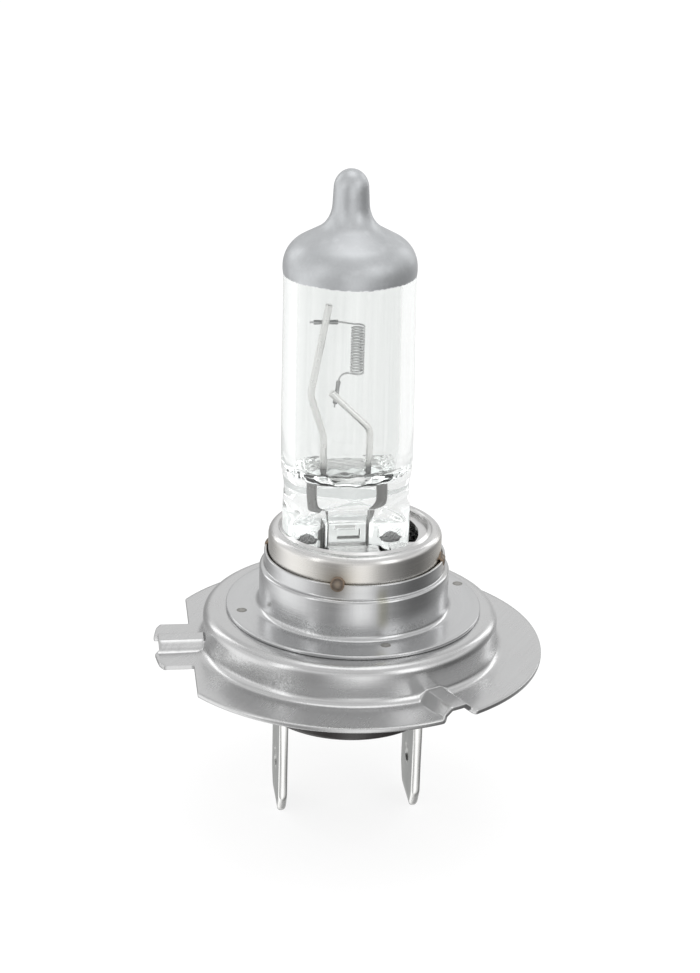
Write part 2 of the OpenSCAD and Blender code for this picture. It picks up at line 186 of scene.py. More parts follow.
def refined(points, step):
    """The same polyline with points added, so that no stretch is longer than step."""
    lengths = np.linalg.norm(np.diff(points, axis=0), axis=1)
    s = np.concatenate([[0], np.cumsum(lengths)])
    extra = np.linspace(0, s[-1], int(s[-1] / step) + 1)
    extra = extra[np.abs(extra[:, None] - s[None, :]).min(1) > step / 3]
    every = np.sort(np.concatenate([s, extra]))
    return np.stack([np.interp(every, s, points[:, k]) for k in range(points.shape[1])], 1)


def smooth(t):
    """Smooth step: 3 t^2 - 2 t^3 between 0 and 1."""
    t = np.clip(t, 0, 1)
    return t * t * (3 - 2 * t)


def window(x, low, high, soft):
    """1 between low and high and 0 outside, with smooth shoulders as wide as soft."""
    return smooth((x - low) / soft + 0.5) * smooth((high - x) / soft + 0.5)


def hump(x, at, width):
    """A bell around the value at: exp(-((x - at) / width)^2)."""
    return np.exp(-((x - at) / width) ** 2)


def even_turn(count):
    """Even angles of one turn, the last one short of the first."""
    return np.linspace(0, TURN, count, endpoint=False)


def gathered(count, spots, width, gain):
    """Angles of one turn, closer together near each spot: even steps of the integral of
    1 + gain exp(-(angle to the spot / width)^2), in radians."""
    fine = np.linspace(0, TURN, 7201)
    density = np.ones_like(fine)
    for spot in np.radians(spots):
        away = np.angle(np.exp(1j * (fine - spot)))
        density += gain * np.exp(-(away / math.radians(width)) ** 2)
    total = np.concatenate([[0], np.cumsum((density[1:] + density[:-1]) / 2)])
    return np.interp(np.linspace(0, total[-1], count, endpoint=False), total, fine)


# ---- Surfaces ----
def revolved(profile, angles, centre_x=0):
    """Surface of revolution: (cx + r cos t, r sin t, z) for each profile point (r, z)."""
    t = even_turn(angles) if np.isscalar(angles) else angles
    r, z = profile[:, 0], profile[:, 1]
    x = centre_x + np.cos(t)[:, None] * r[None, :]
    y = np.sin(t)[:, None] * r[None, :]
    return np.stack([x, y, np.broadcast_to(z, x.shape)], 2)


def polar(grid, centre_x=0):
    """Distance from a line parallel to Z, and direction round it in radians."""
    x, y = grid[..., 0] - centre_x, grid[..., 1]
    return np.hypot(x, y), np.arctan2(y, x)


def unit(v):
    """Each vector divided by its length."""
    return v / np.maximum(np.linalg.norm(v, axis=-1, keepdims=True), 1e-12)


def closed_sheet(upper, thickness, bulge=0.35, steps=5):
    """A sheet of metal carried round the axis. The lower face is the upper one moved by the
    thickness along minus its normal, and each rim is half an ellipse:
    middle + t/2 (cos a normal + bulge sin a outward)."""
    around = np.roll(upper, -1, 0) - np.roll(upper, 1, 0)
    normal = unit(np.cross(around, np.gradient(upper, axis=1)))
    normal *= np.sign(normal[:, :, 2].mean() + 1e-9)
    lower = upper - thickness * normal
    a = np.linspace(0, np.pi, steps + 2)[1:-1]

    def rim(edge, inner, n):
        out = unit(edge - inner)[:, None]
        middle = (edge - thickness / 2 * n)[:, None]
        n = n[:, None]
        return middle + thickness / 2 * (np.cos(a)[None, :, None] * n
                                         + bulge * np.sin(a)[None, :, None] * out)

    far = rim(upper[:, -1], upper[:, -2], normal[:, -1])
    near = rim(upper[:, 0], upper[:, 1], normal[:, 0])
    return np.concatenate([upper, far, lower[:, ::-1], near[:, ::-1]], 1)


def swept(path, diameter, sides=16, across=(0, 1, 0), flat_ends=0.12):
    """Round wire along a path: rings of radius d/2 in the plane square to the tangent, and two
    ends closed by a ring drawn in by flat_ends and a middle point."""
    tangent = unit(np.gradient(path, axis=0))
    side = unit(np.cross(tangent, np.asarray(across, float)))
    up = np.cross(side, tangent)
    a = even_turn(sides)
    ring = np.cos(a)[None, :, None] * side[:, None] + np.sin(a)[None, :, None] * up[:, None]
    r = diameter / 2
    edge = flat_ends * r
    body = path[:, None] + r * ring
    body[0] = path[0] + tangent[0] * edge + r * ring[0]
    body[-1] = path[-1] - tangent[-1] * edge + r * ring[-1]
    start, end = (path[k] + np.array([0, r - edge])[:, None, None] * ring[k] for k in (0, -1))
    return np.concatenate([start, body, end[::-1]])


def rounded_path(points, radius, count=9):
    """A path with each inner corner replaced by the parabola that leaves it at the distance of
    radius: (1-t)^2 a + 2 t (1-t) corner + t^2 b."""
    points = np.asarray(points, float)
    out = [points[:1]]
    t = np.linspace(0, 1, count)[:, None]
    for before, corner, after in zip(points[:-2], points[1:-1], points[2:]):
        a = corner + radius * unit(before - corner)
        b = corner + radius * unit(after - corner)
        out.append((1 - t) ** 2 * a + 2 * t * (1 - t) * corner + t ** 2 * b)
    out.append(points[-1:])
    return np.concatenate(out)


# ---- Meshes ----
def skin(grid, wrap=(False, False), inside=False, keep=None, **tags):
    """A grid of points with how it closes: wrap says which of its two directions run round,
    inside turns it inward, keep drops cells, and tags are values kept at each point."""
    return dict(grid=grid, wrap=wrap, inside=inside, keep=keep, tags=tags)


def skin_faces(s):
    """Quads between neighbouring points of the grid, ordered so that a closed skin encloses a
    positive volume: the sum over its faces of corner . (diagonal x diagonal) / 6."""
    rows, columns = s["grid"].shape[:2]
    index = np.arange(rows * columns).reshape(rows, columns)
    if s["wrap"][0]:
        index = np.concatenate([index, index[:1]], 0)
    if s["wrap"][1]:
        index = np.concatenate([index, index[:, :1]], 1)
    quads = np.stack([index[:-1, :-1], index[1:, :-1], index[1:, 1:], index[:-1, 1:]], 2)
    quads = quads[s["keep"]] if s["keep"] is not None else quads.reshape(-1, 4)
    p = s["grid"].reshape(-1, 3)
    c = p[quads]
    centre = p.mean(0)
    volume = np.einsum("ij,ij->", c.mean(1) - centre,
                       np.cross(c[:, 2] - c[:, 0], c[:, 3] - c[:, 1]))
    if (volume < 0) != s["inside"]:
        quads = quads[:, ::-1]
    return quads


def placed(name, data):
    """A new object in the scene."""
    obj = bpy.data.objects.new(name, data)
    bpy.context.scene.collection.objects.link(obj)
    return obj


def piece(name, skins, material, node, sharp, fix_normals=False):
    """One mesh object from skins: merged, smooth but for edges sharper than the angle sharp,
    riding on the lamp's only body and standing for the CAD node given."""
    points = np.concatenate([s["grid"].reshape(-1, 3) for s in skins]) * MM
    starts = np.cumsum([0] + [s["grid"].shape[0] * s["grid"].shape[1] for s in skins])
    faces = np.concatenate([skin_faces(s) + start for s, start in zip(skins, starts)])
    mesh = bpy.data.meshes.new(name)
    mesh.from_pydata(points.tolist(), [], faces.tolist())
    for tag in skins[0]["tags"]:
        values = np.concatenate([s["tags"][tag].ravel() for s in skins]).astype(np.float32)
        vector = len(values) > len(points)
        layer = mesh.attributes.new(tag, "FLOAT_VECTOR" if vector else "FLOAT", "POINT")
        layer.data.foreach_set("vector" if vector else "value", values)
    work = bmesh.new()
    work.from_mesh(mesh)
    bmesh.ops.remove_doubles(work, verts=work.verts, dist=MERGE)
    loose = [v for v in work.verts if not v.link_faces]
    bmesh.ops.delete(work, geom=loose, context="VERTS")
    if fix_normals:
        bmesh.ops.recalc_face_normals(work, faces=work.faces)
    work.to_mesh(mesh)
    work.free()
    mesh.shade_smooth()
    mesh.set_sharp_from_angle(angle=math.radians(sharp))
    mesh.materials.append(material)
    obj = placed(name, mesh)
    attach(obj, "root")
    if node:
        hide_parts(node)


def grain_of(grid, lengths, centre_x=0):
    """Where a point lies in the pattern of lines left by drawing and turning: its place across
    the axis over GRAIN_REACH, and the length along the section over GRAIN_PITCH."""
    x = (grid[..., 0] - centre_x) / GRAIN_REACH
    return np.stack([x, grid[..., 1] / GRAIN_REACH, lengths / GRAIN_PITCH], -1)


# ---- Materials ----
class Recipe:
    """The node tree of a material or a world, with one short call for each kind of node."""

    def __init__(self, name, kind="materials", out="OutputMaterial"):
        self.owner = getattr(bpy.data, kind).new(name)
        self.owner.use_nodes = True
        self.tree = self.owner.node_tree
        self.tree.nodes.clear()
        self.out = self.node(out)

    def node(self, kind, inputs=(), **settings):
        """A node with its settings. An input given as a socket is linked, any other is set."""
        n = self.tree.nodes.new("ShaderNode" + kind)
        for key, value in settings.items():
            setattr(n, key, value)
        for key, value in dict(inputs).items():
            if isinstance(value, bpy.types.NodeSocket):
                self.tree.links.new(value, n.inputs[key])
            elif n.inputs[key].type == "RGBA":
                n.inputs[key].default_value = (*value, 1)
            else:
                n.inputs[key].default_value = value
        return n

    def place(self):
        return self.node("TexCoord").outputs["Object"]

    def tag(self, name, output="Fac"):
        return self.node("Attribute", attribute_name=name).outputs[output]

    def noise(self, scale, detail, roughness, distortion=0.0, over=None):
        """Noise over the object's coordinates or another vector, at one scale or one an axis."""
        vector = self.place() if over is None else over
        if isinstance(scale, tuple):
            vector = self.node("Mapping", {"Vector": vector, "Scale": scale}).outputs[0]
            scale = 1.0
        inputs = {"Vector": vector, "Scale": scale, "Detail": detail, "Roughness": roughness,
                  "Distortion": distortion}
        return self.node("TexNoise", inputs).outputs["Fac"]

    def math(self, operation, a, b, clamp=False):
        return self.node("Math", {0: a, 1: b}, operation=operation, use_clamp=clamp).outputs[0]

    def total(self, base, *terms, clamp=False):
        """The base plus each term's value times its weight."""
        for value, weight in terms:
            n = self.node("Math", {0: value, 1: weight, 2: base}, operation="MULTIPLY_ADD")
            base = n.outputs[0]
        n.use_clamp = clamp
        return base

    def spread(self, value, low, high, to_low=0.0, to_high=1.0, shape="LINEAR"):
        return self.node("MapRange", {"Value": value, "From Min": low, "From Max": high,
                                      "To Min": to_low, "To Max": to_high},
                         interpolation_type=shape).outputs[0]

    def mix(self, share, a, b, blend="MIX"):
        return self.node("Mix", {0: share, 6: a, 7: b}, data_type="RGBA",
                         blend_type=blend).outputs[2]

    def bumps(self, *layers):
        """The normal after each layer of (height, strength, distance in mm) in turn."""
        under = {}
        for height, strength, distance in layers:
            n = self.node("Bump", {"Height": height, "Strength": strength,
                                   "Distance": distance * MM, **under})
            under = {"Normal": n.outputs[0]}
        return n.outputs[0]

    def finish(self, colour, roughness, normal=None, metallic=0.0, **more):
        """The material with its shader; more names further sockets, with _ for a space."""
        inputs = {"Base Color": colour, "Roughness": roughness, "Metallic": metallic}
        inputs.update({key.replace("_", " "): value for key, value in more.items()})
        if normal is not None:
            inputs["Normal"] = normal
        self.tree.links.new(self.node("BsdfPrincipled", inputs).outputs[0], self.out.inputs[0])
        return self.owner


def grey(level, warm=0.0):
    """A grey in linear light, warmer as warm grows."""
    return level * (1 + warm), level, level * (1 - 1.3 * warm)


def shaded(tone, share):
    """A tone made darker or lighter by a share, and at most 1."""
    return [min(1, share * c) for c in tone]


def drawn_steel(name, tone, roughness, lines, streaks, marks, tinted=False):
    """Satin sheet steel: fine lines that follow the turned or rolled direction, faint die
    streaks along the draw, cloudy patches, pits where the tag rough_patch says so, and heat
    colours where the tags straw, scorch and stain do."""
    m = Recipe(name)
    grain = m.tag("grain", "Vector")
    fine = m.noise(1.0, 3, 0.65, over=grain)
    broad = m.noise((0.5, 0.5, 0.17), 2, 0.5, over=grain)
    draw = m.noise((5200, 5200, 260), 2, 0.6)
    cloud = m.noise(330, 3, 0.55)
    spots = m.noise(3600, 3, 0.65)
    weights = 0.28 * lines, 0.3 * lines, 0.22 * streaks, 0.24 * marks
    shade = m.total(0.5 - sum(weights) / 2, *zip((fine, broad, draw, cloud), weights), clamp=True)
    colour = m.mix(shade, shaded(tone, 0.62), shaded(tone, 1.28))
    if tinted:
        colour = m.mix(m.tag("straw"), colour, (0.78, 0.69, 0.53), "MULTIPLY")
        colour = m.mix(m.tag("scorch"), colour, (0.17, 0.09, 0.045))
        colour = m.mix(m.tag("stain"), colour, (0.62, 0.6, 0.42), "MULTIPLY")
    pits = m.math("MULTIPLY", m.spread(spots, 0.45, 0.75), m.tag("rough_patch"))
    colour = m.mix(m.math("MULTIPLY", pits, 0.45), colour, (0.2, 0.2, 0.195))
    rough = m.total(roughness - 0.07 - 0.08 * lines, (cloud, 0.14), (fine, 0.16 * lines),
                    (pits, 0.2))
    normal = m.bumps((fine, 0.5 * lines, 0.012), (draw, 0.35 * streaks, 0.01),
                     (cloud, 0.3 * marks, 0.05), (pits, 0.4, 0.02))
    return m.finish(colour, rough, normal, 1.0)


def clear_glass():
    """Hard glass with a faint cool depth and hair-fine streaks along the drawn tube, frosted a
    little where the jaws pressed it. It also has a painted glow: emission makes it pale where its
    walls have turned a ray back three times, and on frosted faces seen from inside the glass."""
    m = Recipe("clear_glass")
    streaks = m.noise((1500, 1500, 18), 2, 0.55)
    seeds = m.noise(700, 2, 0.5)
    frost = m.tag("frost")
    tint = m.mix(m.spread(streaks, 0.3, 0.7), (0.832, 0.846, 0.838), (0.922, 0.93, 0.925))
    tint = m.mix(frost, tint, (0.93, 0.94, 0.945))
    path = m.node("LightPath").outputs
    turns = path["Glossy Depth"]
    # Painted glow: emission where the walls have turned a ray back three times, and on frosted
    # faces reached from inside the glass.
    painted_glow_turned_back = m.math("MULTIPLY", m.math("GREATER_THAN", turns, 2.5),
                    m.math("LESS_THAN", turns, 3.5))
    painted_glow_from_inside = m.math("MULTIPLY", frost, m.math("GREATER_THAN", path["Ray Depth"], 0.5))
    return m.finish(tint, m.math("MULTIPLY", frost, 0.2),
                    m.bumps((streaks, 0.14, 0.02), (seeds, 0.06, 0.05)), IOR=1.49,
                    Transmission_Weight=m.math("SUBTRACT", 1.0, frost),
                    Emission_Color=(0.93, 0.96, 0.95),
                    Emission_Strength=m.total(0, (painted_glow_turned_back, 0.8), (painted_glow_from_inside, 0.92)))


def tip_paint():
    """Grey heat-proof paint: fine metallic speckle, soft clouds, paler where it thinned, and
    matt and pale on the face that lies against the glass."""
    m = Recipe("tip_paint")
    speckle = m.noise(5200, 2, 0.6)
    cloud = m.noise(420, 4, 0.6)
    thinned = m.spread(m.noise(900, 2, 0.5), 0.55, 0.75)
    inner = m.tag("inner")
    colour = m.mix(m.total(0, (speckle, 0.30), (cloud, 0.55), (thinned, 0.25)),
                   (0.37, 0.38, 0.39), (0.60, 0.615, 0.63))
    return m.finish(m.mix(inner, colour, (0.8, 0.81, 0.82)), m.total(0.37, (speckle, 0.14)),
                    m.bumps((speckle, 0.45, 0.012), (cloud, 0.4, 0.04)),
                    m.math("SUBTRACT", 0.8, inner, clamp=True))


def wire_metal(name, tone, roughness, scale, speck=0.2, sealed=0.0):
    """Drawn wire: lengthwise die lines and a slightly mottled oxide, darker by the share sealed
    where glass was pressed onto it."""
    m = Recipe(name)
    lines = m.noise((scale, scale, scale / 12), 2, 0.6)
    mottle = m.noise(scale / 2, 3, 0.6)
    colour = m.mix(m.total(0, (lines, 0.5), (mottle, 0.5)),
                   shaded(tone, 1 - 1.5 * speck), shaded(tone, 1 + speck))
    if sealed:
        height = m.node("SeparateXYZ", {0: m.place()}).outputs[2]
        share = m.spread(height, 16.6 * MM, 15.8 * MM, 0, sealed)
        colour = m.mix(share, colour, (0.1, 0.1, 0.098))
    return m.finish(colour, m.spread(mottle, 0, 1, roughness - 0.1, roughness + 0.1),
                    m.bumps((lines, 0.4, 0.008)), 1.0)


def weld_scale():
    """Heat-browned weld: a paler middle, a dark ring of set metal and a brown rim."""
    m = Recipe("weld_scale")
    ring = m.tag("ring")
    specks = m.noise(4000, 3, 0.6)
    colour = m.mix(m.spread(ring, 0.2, 0.62), (0.22, 0.175, 0.135), (0.055, 0.036, 0.025))
    colour = m.mix(m.spread(ring, 0.72, 0.98), colour, (0.21, 0.14, 0.088))
    colour = m.mix(m.math("MULTIPLY", specks, 0.45), colour, (0.34, 0.31, 0.27))
    return m.finish(colour, m.spread(specks, 0, 1, 0.36, 0.6), m.bumps((specks, 0.4, 0.012)), 0.7)


def spot_scale():
    """Grey, dull print of a spot-welding tip, darker towards its rim."""
    m = Recipe("spot_print")
    specks = m.noise(4200, 3, 0.6)
    colour = m.mix(m.spread(m.tag("ring"), 0.3, 0.9), (0.33, 0.325, 0.31), (0.22, 0.22, 0.205))
    colour = m.mix(m.math("MULTIPLY", specks, 0.5), colour, (0.42, 0.41, 0.40))
    return m.finish(colour, 0.55, m.bumps((specks, 0.6, 0.02)), 0.8)


def black_moulding():
    """Near-black thermoset moulding, glossy, with flow marks and fine pits."""
    m = Recipe("black_moulding")
    flow = m.noise((500, 500, 160), 3, 0.6, 1.2)
    pits = m.noise(3500, 2, 0.6)
    return m.finish(m.mix(flow, (0.008, 0.007, 0.007), (0.022, 0.018, 0.018)),
                    m.spread(flow, 0.3, 0.7, 0.12, 0.3),
                    m.bumps((flow, 0.5, 0.06), (pits, 0.3, 0.012)), Specular_IOR_Level=0.6)


def tinned_brass():
    """Tin-plated blade: pale grey plate with rolled lines and small scuffs. Where the tag edge says
    so
    it is near white: a painted highlight along its edges, and worn bright metal at its end."""
    m = Recipe("tinned_brass")
    rolled = m.noise((600, 600, 5200), 3, 0.6)
    cloud = m.noise(420, 3, 0.55)
    scuffs = m.noise((900, 2600, 400), 3, 0.7)
    edge = m.tag("edge")
    colour = m.mix(m.total(0, (rolled, 0.4), (cloud, 0.6)),
                   (0.43, 0.44, 0.43), (0.66, 0.67, 0.655))
    colour = m.mix(m.math("MULTIPLY", m.spread(scuffs, 0.62, 0.75), 0.4), colour,
                   (0.27, 0.27, 0.26))
    # Painted highlight: near white along the rounded edges and the hole's rim; near the blade's end
    # the same tag is wear.
    colour = m.mix(m.math("MULTIPLY", edge, 0.7), colour, (0.93, 0.925, 0.91))
    rough = m.total(m.spread(cloud, 0.2, 0.8, 0.3, 0.46), (edge, -0.12))
    return m.finish(colour, rough, m.bumps((rolled, 0.35, 0.01), (scuffs, 0.25, 0.02)), 1.0)


# ---- Base flange ----
def flange_outline(t):
    """Distance from the axis to the flange's rim at angle t: the round rim, the straight side
    x = -FLAT_X, and the key tab with its two clipped corners, whichever reaches furthest."""
    c, s = np.cos(t), np.abs(np.sin(t))
    west = np.maximum(-c, 1e-6)
    rim = np.minimum(FLANGE_R, FLAT_X / west)
    nx, ny = TAB_CLIP_NORMAL
    corner = nx * (TAB_R - TAB_CLIP) + ny * TAB_W / 2
    tab = np.minimum(TAB_R, TAB_W / 2 / np.maximum(s, 1e-6))
    tab = np.minimum(tab, corner / (nx * west + ny * s))
    return np.where(c < 0, np.maximum(rim, np.where(west > 0.9, tab, 0)), rim)


def rib_share(across):
    """Height of a pressed rib over its half width, from 1 on its flat top to 0 at its foot, with
    its shoulders softened by mixing the straight slope with a smooth step."""
    t = np.clip((RIB_FOOT_W / 2 - np.abs(across)) / ((RIB_FOOT_W - RIB_TOP_W) / 2), 0, 1)
    return 0.5 * t + 0.5 * smooth(t)


def soft_max(a, b, k):
    """The larger of two heights, blended over k: (a + b + sqrt((a - b)^2 + k^2)) / 2."""
    return (a + b + np.sqrt((a - b) ** 2 + k * k)) / 2


def cap_surface():
    """Upper face of the drum and its flange: one section of drum top, crown, wall, foot fillet and
    flat, carried round the axis, its rim following the outline and its ribs lifted out of it."""
    t = gathered(620, [*RIB_ANGLES, *TAB_FOOT_ANGLES, *FLAT_END_ANGLES], 7, 5)
    crown = arc((DRUM_R - DRUM_ROUND, DRUM_H - DRUM_ROUND), DRUM_ROUND, 90, 0, 10)
    foot = arc((DRUM_R + FOOT_ROUND, FOOT_ROUND), FOOT_ROUND, 180, 270, 11)
    inner = refined(chain((DRUM_HOLE_R, DRUM_H), crown, foot), 0.3)
    out = flange_outline(t)
    west = np.abs(np.angle(np.exp(1j * (t - np.pi))))
    inset = np.zeros_like(t)
    for angle in np.radians(RIB_ANGLES):
        away = np.angle(np.exp(1j * (t - angle)))
        across = out * np.sin(away)
        inset += RIM_INSET * window(across, -1.55, 1.55, 0.35) * (np.abs(away) < 0.5)
    out = out - inset - 0.07
    share = np.linspace(0, 1, 15)[1:]
    start = DRUM_R + FOOT_ROUND
    flat_r = start + share[None, :] * (out - start)[:, None]
    r = np.concatenate([np.tile(inner[:, 0], (len(t), 1)), flat_r], 1)
    z = np.concatenate([np.tile(inner[:, 1], (len(t), 1)), 0 * flat_r], 1)
    dent = DENT_DEPTH * np.exp(-(west[:, None] * DRUM_R / 1.1) ** 2 - ((z - 1.25) / 0.45) ** 2)
    r = r - np.where(r <= DRUM_R + 0.3, dent, 0)
    lift = np.zeros_like(z)
    for angle in np.radians(RIB_ANGLES):
        away = np.angle(np.exp(1j * (t - angle)))[:, None]
        height = RIB_H * rib_share(r * np.sin(away)) * (np.abs(away) < 0.5)
        lift = np.maximum(lift, height)
    near_foot = (r > DRUM_R - 0.01) & (z < 1.6)
    blend = 0.34 * smooth(lift / 0.3)
    z = np.where(near_foot & (lift > 0), soft_max(z, lift, blend) - blend * 0.18, z)
    wave = 0.03 * np.sin(5 * t + 0.7)[:, None] * smooth((r - 13.8) / 2)
    z = z + wave * (lift < 0.02)
    return np.stack([r * np.cos(t)[:, None], r * np.sin(t)[:, None], z], 2)


def base_flange():
    """The cap: turned lines round the drum that pass into the sheet's rolled lines, straight
    across the flange, and a worn patch on the wall at the front left."""
    sheet = closed_sheet(cap_surface(), CAP_SHEET)
    x, y, z = np.moveaxis(sheet, -1, 0)
    r, angle = polar(sheet)
    on_flat = smooth((r - 13.6) / 0.6)[..., None]
    rolled = np.stack([(x * 0.55 + y * 0.83) / 6, (x * 0.83 - y * 0.55) / 0.2, z], -1)
    mixed = grain_of(sheet, r + np.abs(z - DRUM_H)) * (1 - on_flat) + rolled * on_flat
    patch = window(np.degrees(angle), -168, -118, 20) * window(z, 0.6, 2.2, 0.8) * (r < 13.4)
    piece("base_flange_sheet", [skin(sheet, (True, True), grain=mixed, rough_patch=patch)],
          steel_cap, "base_flange", 50)


# ---- Focus sleeve ----
def near_welds(grid, radius, size):
    """How close a point is to the nearest collar weld: exp(-(distance / size)^2)."""
    a = np.radians(WELD_ANGLES)
    welds = np.stack([SHIFT + radius * np.cos(a), radius * np.sin(a), np.full(4, LIP_Z)], 1)
    return np.exp(-((grid[..., None, :] - welds) ** 2).sum(-1) / size ** 2).max(-1)


def focus_sleeve():
    """Closed section of the sleeve: disc with rounded rim, foot fillet, wide wall, step, lip. Its
    tags hold heat colours by the welds, one run of flux down the front, and worn patches."""
    foot = (SLEEVE_R + 0.5, DISC_Z + THIN + 0.5)
    rim = 0.11
    profile = chain(
        arc((DISC_R - rim, DISC_Z + rim), rim, -90, 0, 4),
        arc((DISC_R - rim, DISC_Z + THIN - rim), rim, 0, 90, 4),
        arc(foot, 0.5, 270, 180, 9),
        arc((SLEEVE_R - 0.3, STEP_Z - 0.3), 0.3, 0, 78, 7),
        arc((COLLAR_R + THIN + 0.12, STEP_Z + 0.14), 0.12, 258, 180, 5),
        arc((COLLAR_R + THIN - 0.1, LIP_Z - 0.1), 0.1, 0, 90, 4),
        arc((COLLAR_R + 0.2, LIP_Z - 0.12), 0.12, 90, 180, 5),
        (COLLAR_R + 0.07, STEP_Z), (COLLAR_R + 0.02, STEP_Z - THIN),
        (SLEEVE_R - THIN, STEP_Z - 2 * THIN), arc(foot, 0.5 + THIN, 180, 270, 9))
    grid = revolved(refined(profile, 0.25), 360, SHIFT)
    r, angle = polar(grid, SHIFT)
    angle, z = np.degrees(angle), grid[..., 2]
    run = window(angle, -83, -77, 5) * window(z, 4.9, 8.2, 1.2)
    patch = (window(angle, -150, -98, 25) * window(z, 3.9, 5.0, 0.8)
             + window(angle, -75, -50, 10) * window(z, 4.1, 4.7, 0.5)) * (r < 9.2)
    piece("focus_sleeve_sheet", [skin(
        grid, (True, True), grain=grain_of(grid, r + z - DISC_Z, SHIFT),
        straw=0.35 * near_welds(grid, COLLAR_R + THIN, 1.3),
        scorch=0.75 * near_welds(grid, COLLAR_R + THIN, 0.52),
        stain=0.5 * run, rough_patch=patch)], steel_sleeve, "focus_sleeve", 60)


# ---- Collar ----
def opening_edge(x):
    """Half width of the collar's opening at x across it: a circle cut straight at both sides."""
    return np.minimum(OPENING_W, np.sqrt(np.maximum(OPENING_R ** 2 - x ** 2, 0)))


def collar_half(side):
    """Half of the collar, in front (-1) or behind (+1) of the plane y = 0, and which of its cells
    are kept. Columns stand at even angles of the rim and at the edges of the slots. Along a
    column the rows run over the plate from the opening to the rim of the recess, then over the
    step and the crest and down the wall. The tongue between the slots bends down."""
    ease = np.array([0, 0.03, 0.09, 0.18, 0.32])
    slots = [(TONGUE[0] - SLOT_W, TONGUE[0]), (TONGUE[1], TONGUE[1] + SLOT_W)]
    edges = np.concatenate([np.concatenate([a + ease, b - ease]) for a, b in slots]
                           + [[OPENING_X + OPENING_R - 0.02, OPENING_X + OPENING_R + 0.02]])
    even = -PLATE_R * np.cos(np.linspace(0, np.pi, 121))
    x = np.sort(np.concatenate([even[np.abs(even[:, None] - edges).min(1) > 0.03], edges]))
    span_y = np.sqrt(np.maximum(PLATE_R ** 2 - x ** 2, 0))
    wide = opening_edge(x - OPENING_X)
    open_y = np.where(wide > 0, np.maximum(wide + side * GLASS_Y, 0), 0)
    open_y = np.minimum(open_y, span_y)
    into = np.abs(x[:, None] - np.ravel(slots)).min(1)
    corner = SLOT_ROUND * (1 - np.sqrt(1 - np.clip(1 - into / SLOT_ROUND, 0, 1) ** 2))
    slot_y = np.minimum(np.maximum(SLOT_END + side * GLASS_Y - corner, open_y), span_y)
    rows_in = np.linspace(0, 1, 8)
    rows_out = np.linspace(0, 1, 6)[1:]
    v = np.concatenate([open_y[:, None] + rows_in[None] * (slot_y - open_y)[:, None],
                        slot_y[:, None] + rows_out[None] * (span_y - slot_y)[:, None]], 1)
    plate = np.stack([np.broadcast_to(x[:, None], v.shape), side * v, np.full(v.shape, PLATE_Z)], 2)
    tongue = (x >= TONGUE[0] - 1e-9) & (x <= TONGUE[1] + 1e-9)
    bend = np.clip((3.6 + side * GLASS_Y - v) / 0.75, 0, 1)
    plate[..., 2] -= np.where(tongue[:, None], 0.22 * smooth(bend), 0)
    crest = (COLLAR_R - CREST_ROUND, CREST_Z - CREST_ROUND)
    profile = chain(arc((RECESS_R - 0.02, PLATE_Z + 0.17), 0.17, 290, 345, 4),
                    arc((RECESS_R + 0.36, CREST_Z - 0.2), 0.2, 165, 90, 5),
                    arc(crest, CREST_ROUND, 88, 0, 14), (COLLAR_R, COLLAR_BOTTOM_Z))
    ring = revolved(refined(profile, 0.22), np.arctan2(side * span_y, x))
    grid = np.concatenate([plate, ring], 1)
    mid = (x[1:] + x[:-1]) / 2
    keep = np.ones((len(x) - 1, grid.shape[1] - 1), bool)
    for a, b in slots:
        keep[(mid > a) & (mid < b), :len(rows_in) - 1] = False
    grid[..., 0] += SHIFT
    return grid, keep


def collar_underside(grid):
    """Lower face of the collar's sheet: each point moved in by the sheet's thickness along its
    normal, which stands straight over the plate."""
    normal = unit(np.cross(np.gradient(grid, axis=0), np.gradient(grid, axis=1)))
    on_plate = (np.abs(grid[..., 2] - PLATE_Z) < 0.25) & (polar(grid, SHIFT)[0] < RECESS_R - 0.1)
    normal[on_plate] = (0, 0, 1)
    flip = np.where((normal * (grid - np.array([SHIFT, 0, 4]))).sum(-1, keepdims=True) < 0, -1, 1)
    return grid - THIN * normal * flip


def collar_piece():
    """The collar: both faces of each half, and a wall of quads wherever a kept cell meets a
    dropped one or the outside, but for the seam where the halves join."""
    skins = []
    for side in (-1, 1):
        upper, keep = collar_half(side)
        lower = collar_underside(upper)
        skins += [skin(face, keep=keep, **collar_tags(face)) for face in (upper, lower)]
        padded = np.pad(keep, 1)
        both = np.stack([upper, lower], 2)
        i, j = np.nonzero(padded[1:, 1:-1] ^ padded[:-1, 1:-1])
        walls = [np.stack([both[i, j], both[i, j + 1]], 1)]
        i, j = np.nonzero(padded[1:-1, 1:] ^ padded[1:-1, :-1])
        walls.append(np.stack([both[i, j], both[i + 1, j]], 1))
        for wall in walls:
            joined = (np.abs(wall[..., 1]) < 1e-6) & (
                np.abs(wall[..., 0] - SHIFT - OPENING_X) > OPENING_R + 0.019)
            skins.append(wall_skin(wall[~joined.all((1, 2))]))
    piece("collar_ring_sheet", skins, steel_collar, "collar_ring", 50, True)


def collar_tags(grid):
    """Tags of the collar: lines round the axis, straw heat colour down its wall and round its
    welds, and scorch on them."""
    r, angle = polar(grid, SHIFT)
    z = grid[..., 2]
    wall = smooth((r - 7.0) / 0.5) * smooth((CREST_Z - z) / 0.9)
    cloud = 0.75 + 0.25 * np.sin(3 * angle + 1.2) * np.cos(5 * angle)
    return dict(grain=grain_of(grid, r + CREST_Z - z, SHIFT),
                straw=wall * cloud * 0.30 + 0.5 * near_welds(grid, COLLAR_R, 1.5),
                scorch=0.8 * near_welds(grid, COLLAR_R, 0.58), stain=0 * r, rough_patch=0 * r)


def wall_skin(quads):
    """Loose quads as a grid of two columns, every second row of cells dropped."""
    grid = quads.reshape(-1, 2, 3)
    keep = np.zeros((len(grid) - 1, 1), bool)
    keep[::2] = True
    return skin(grid, keep=keep, **collar_tags(grid))


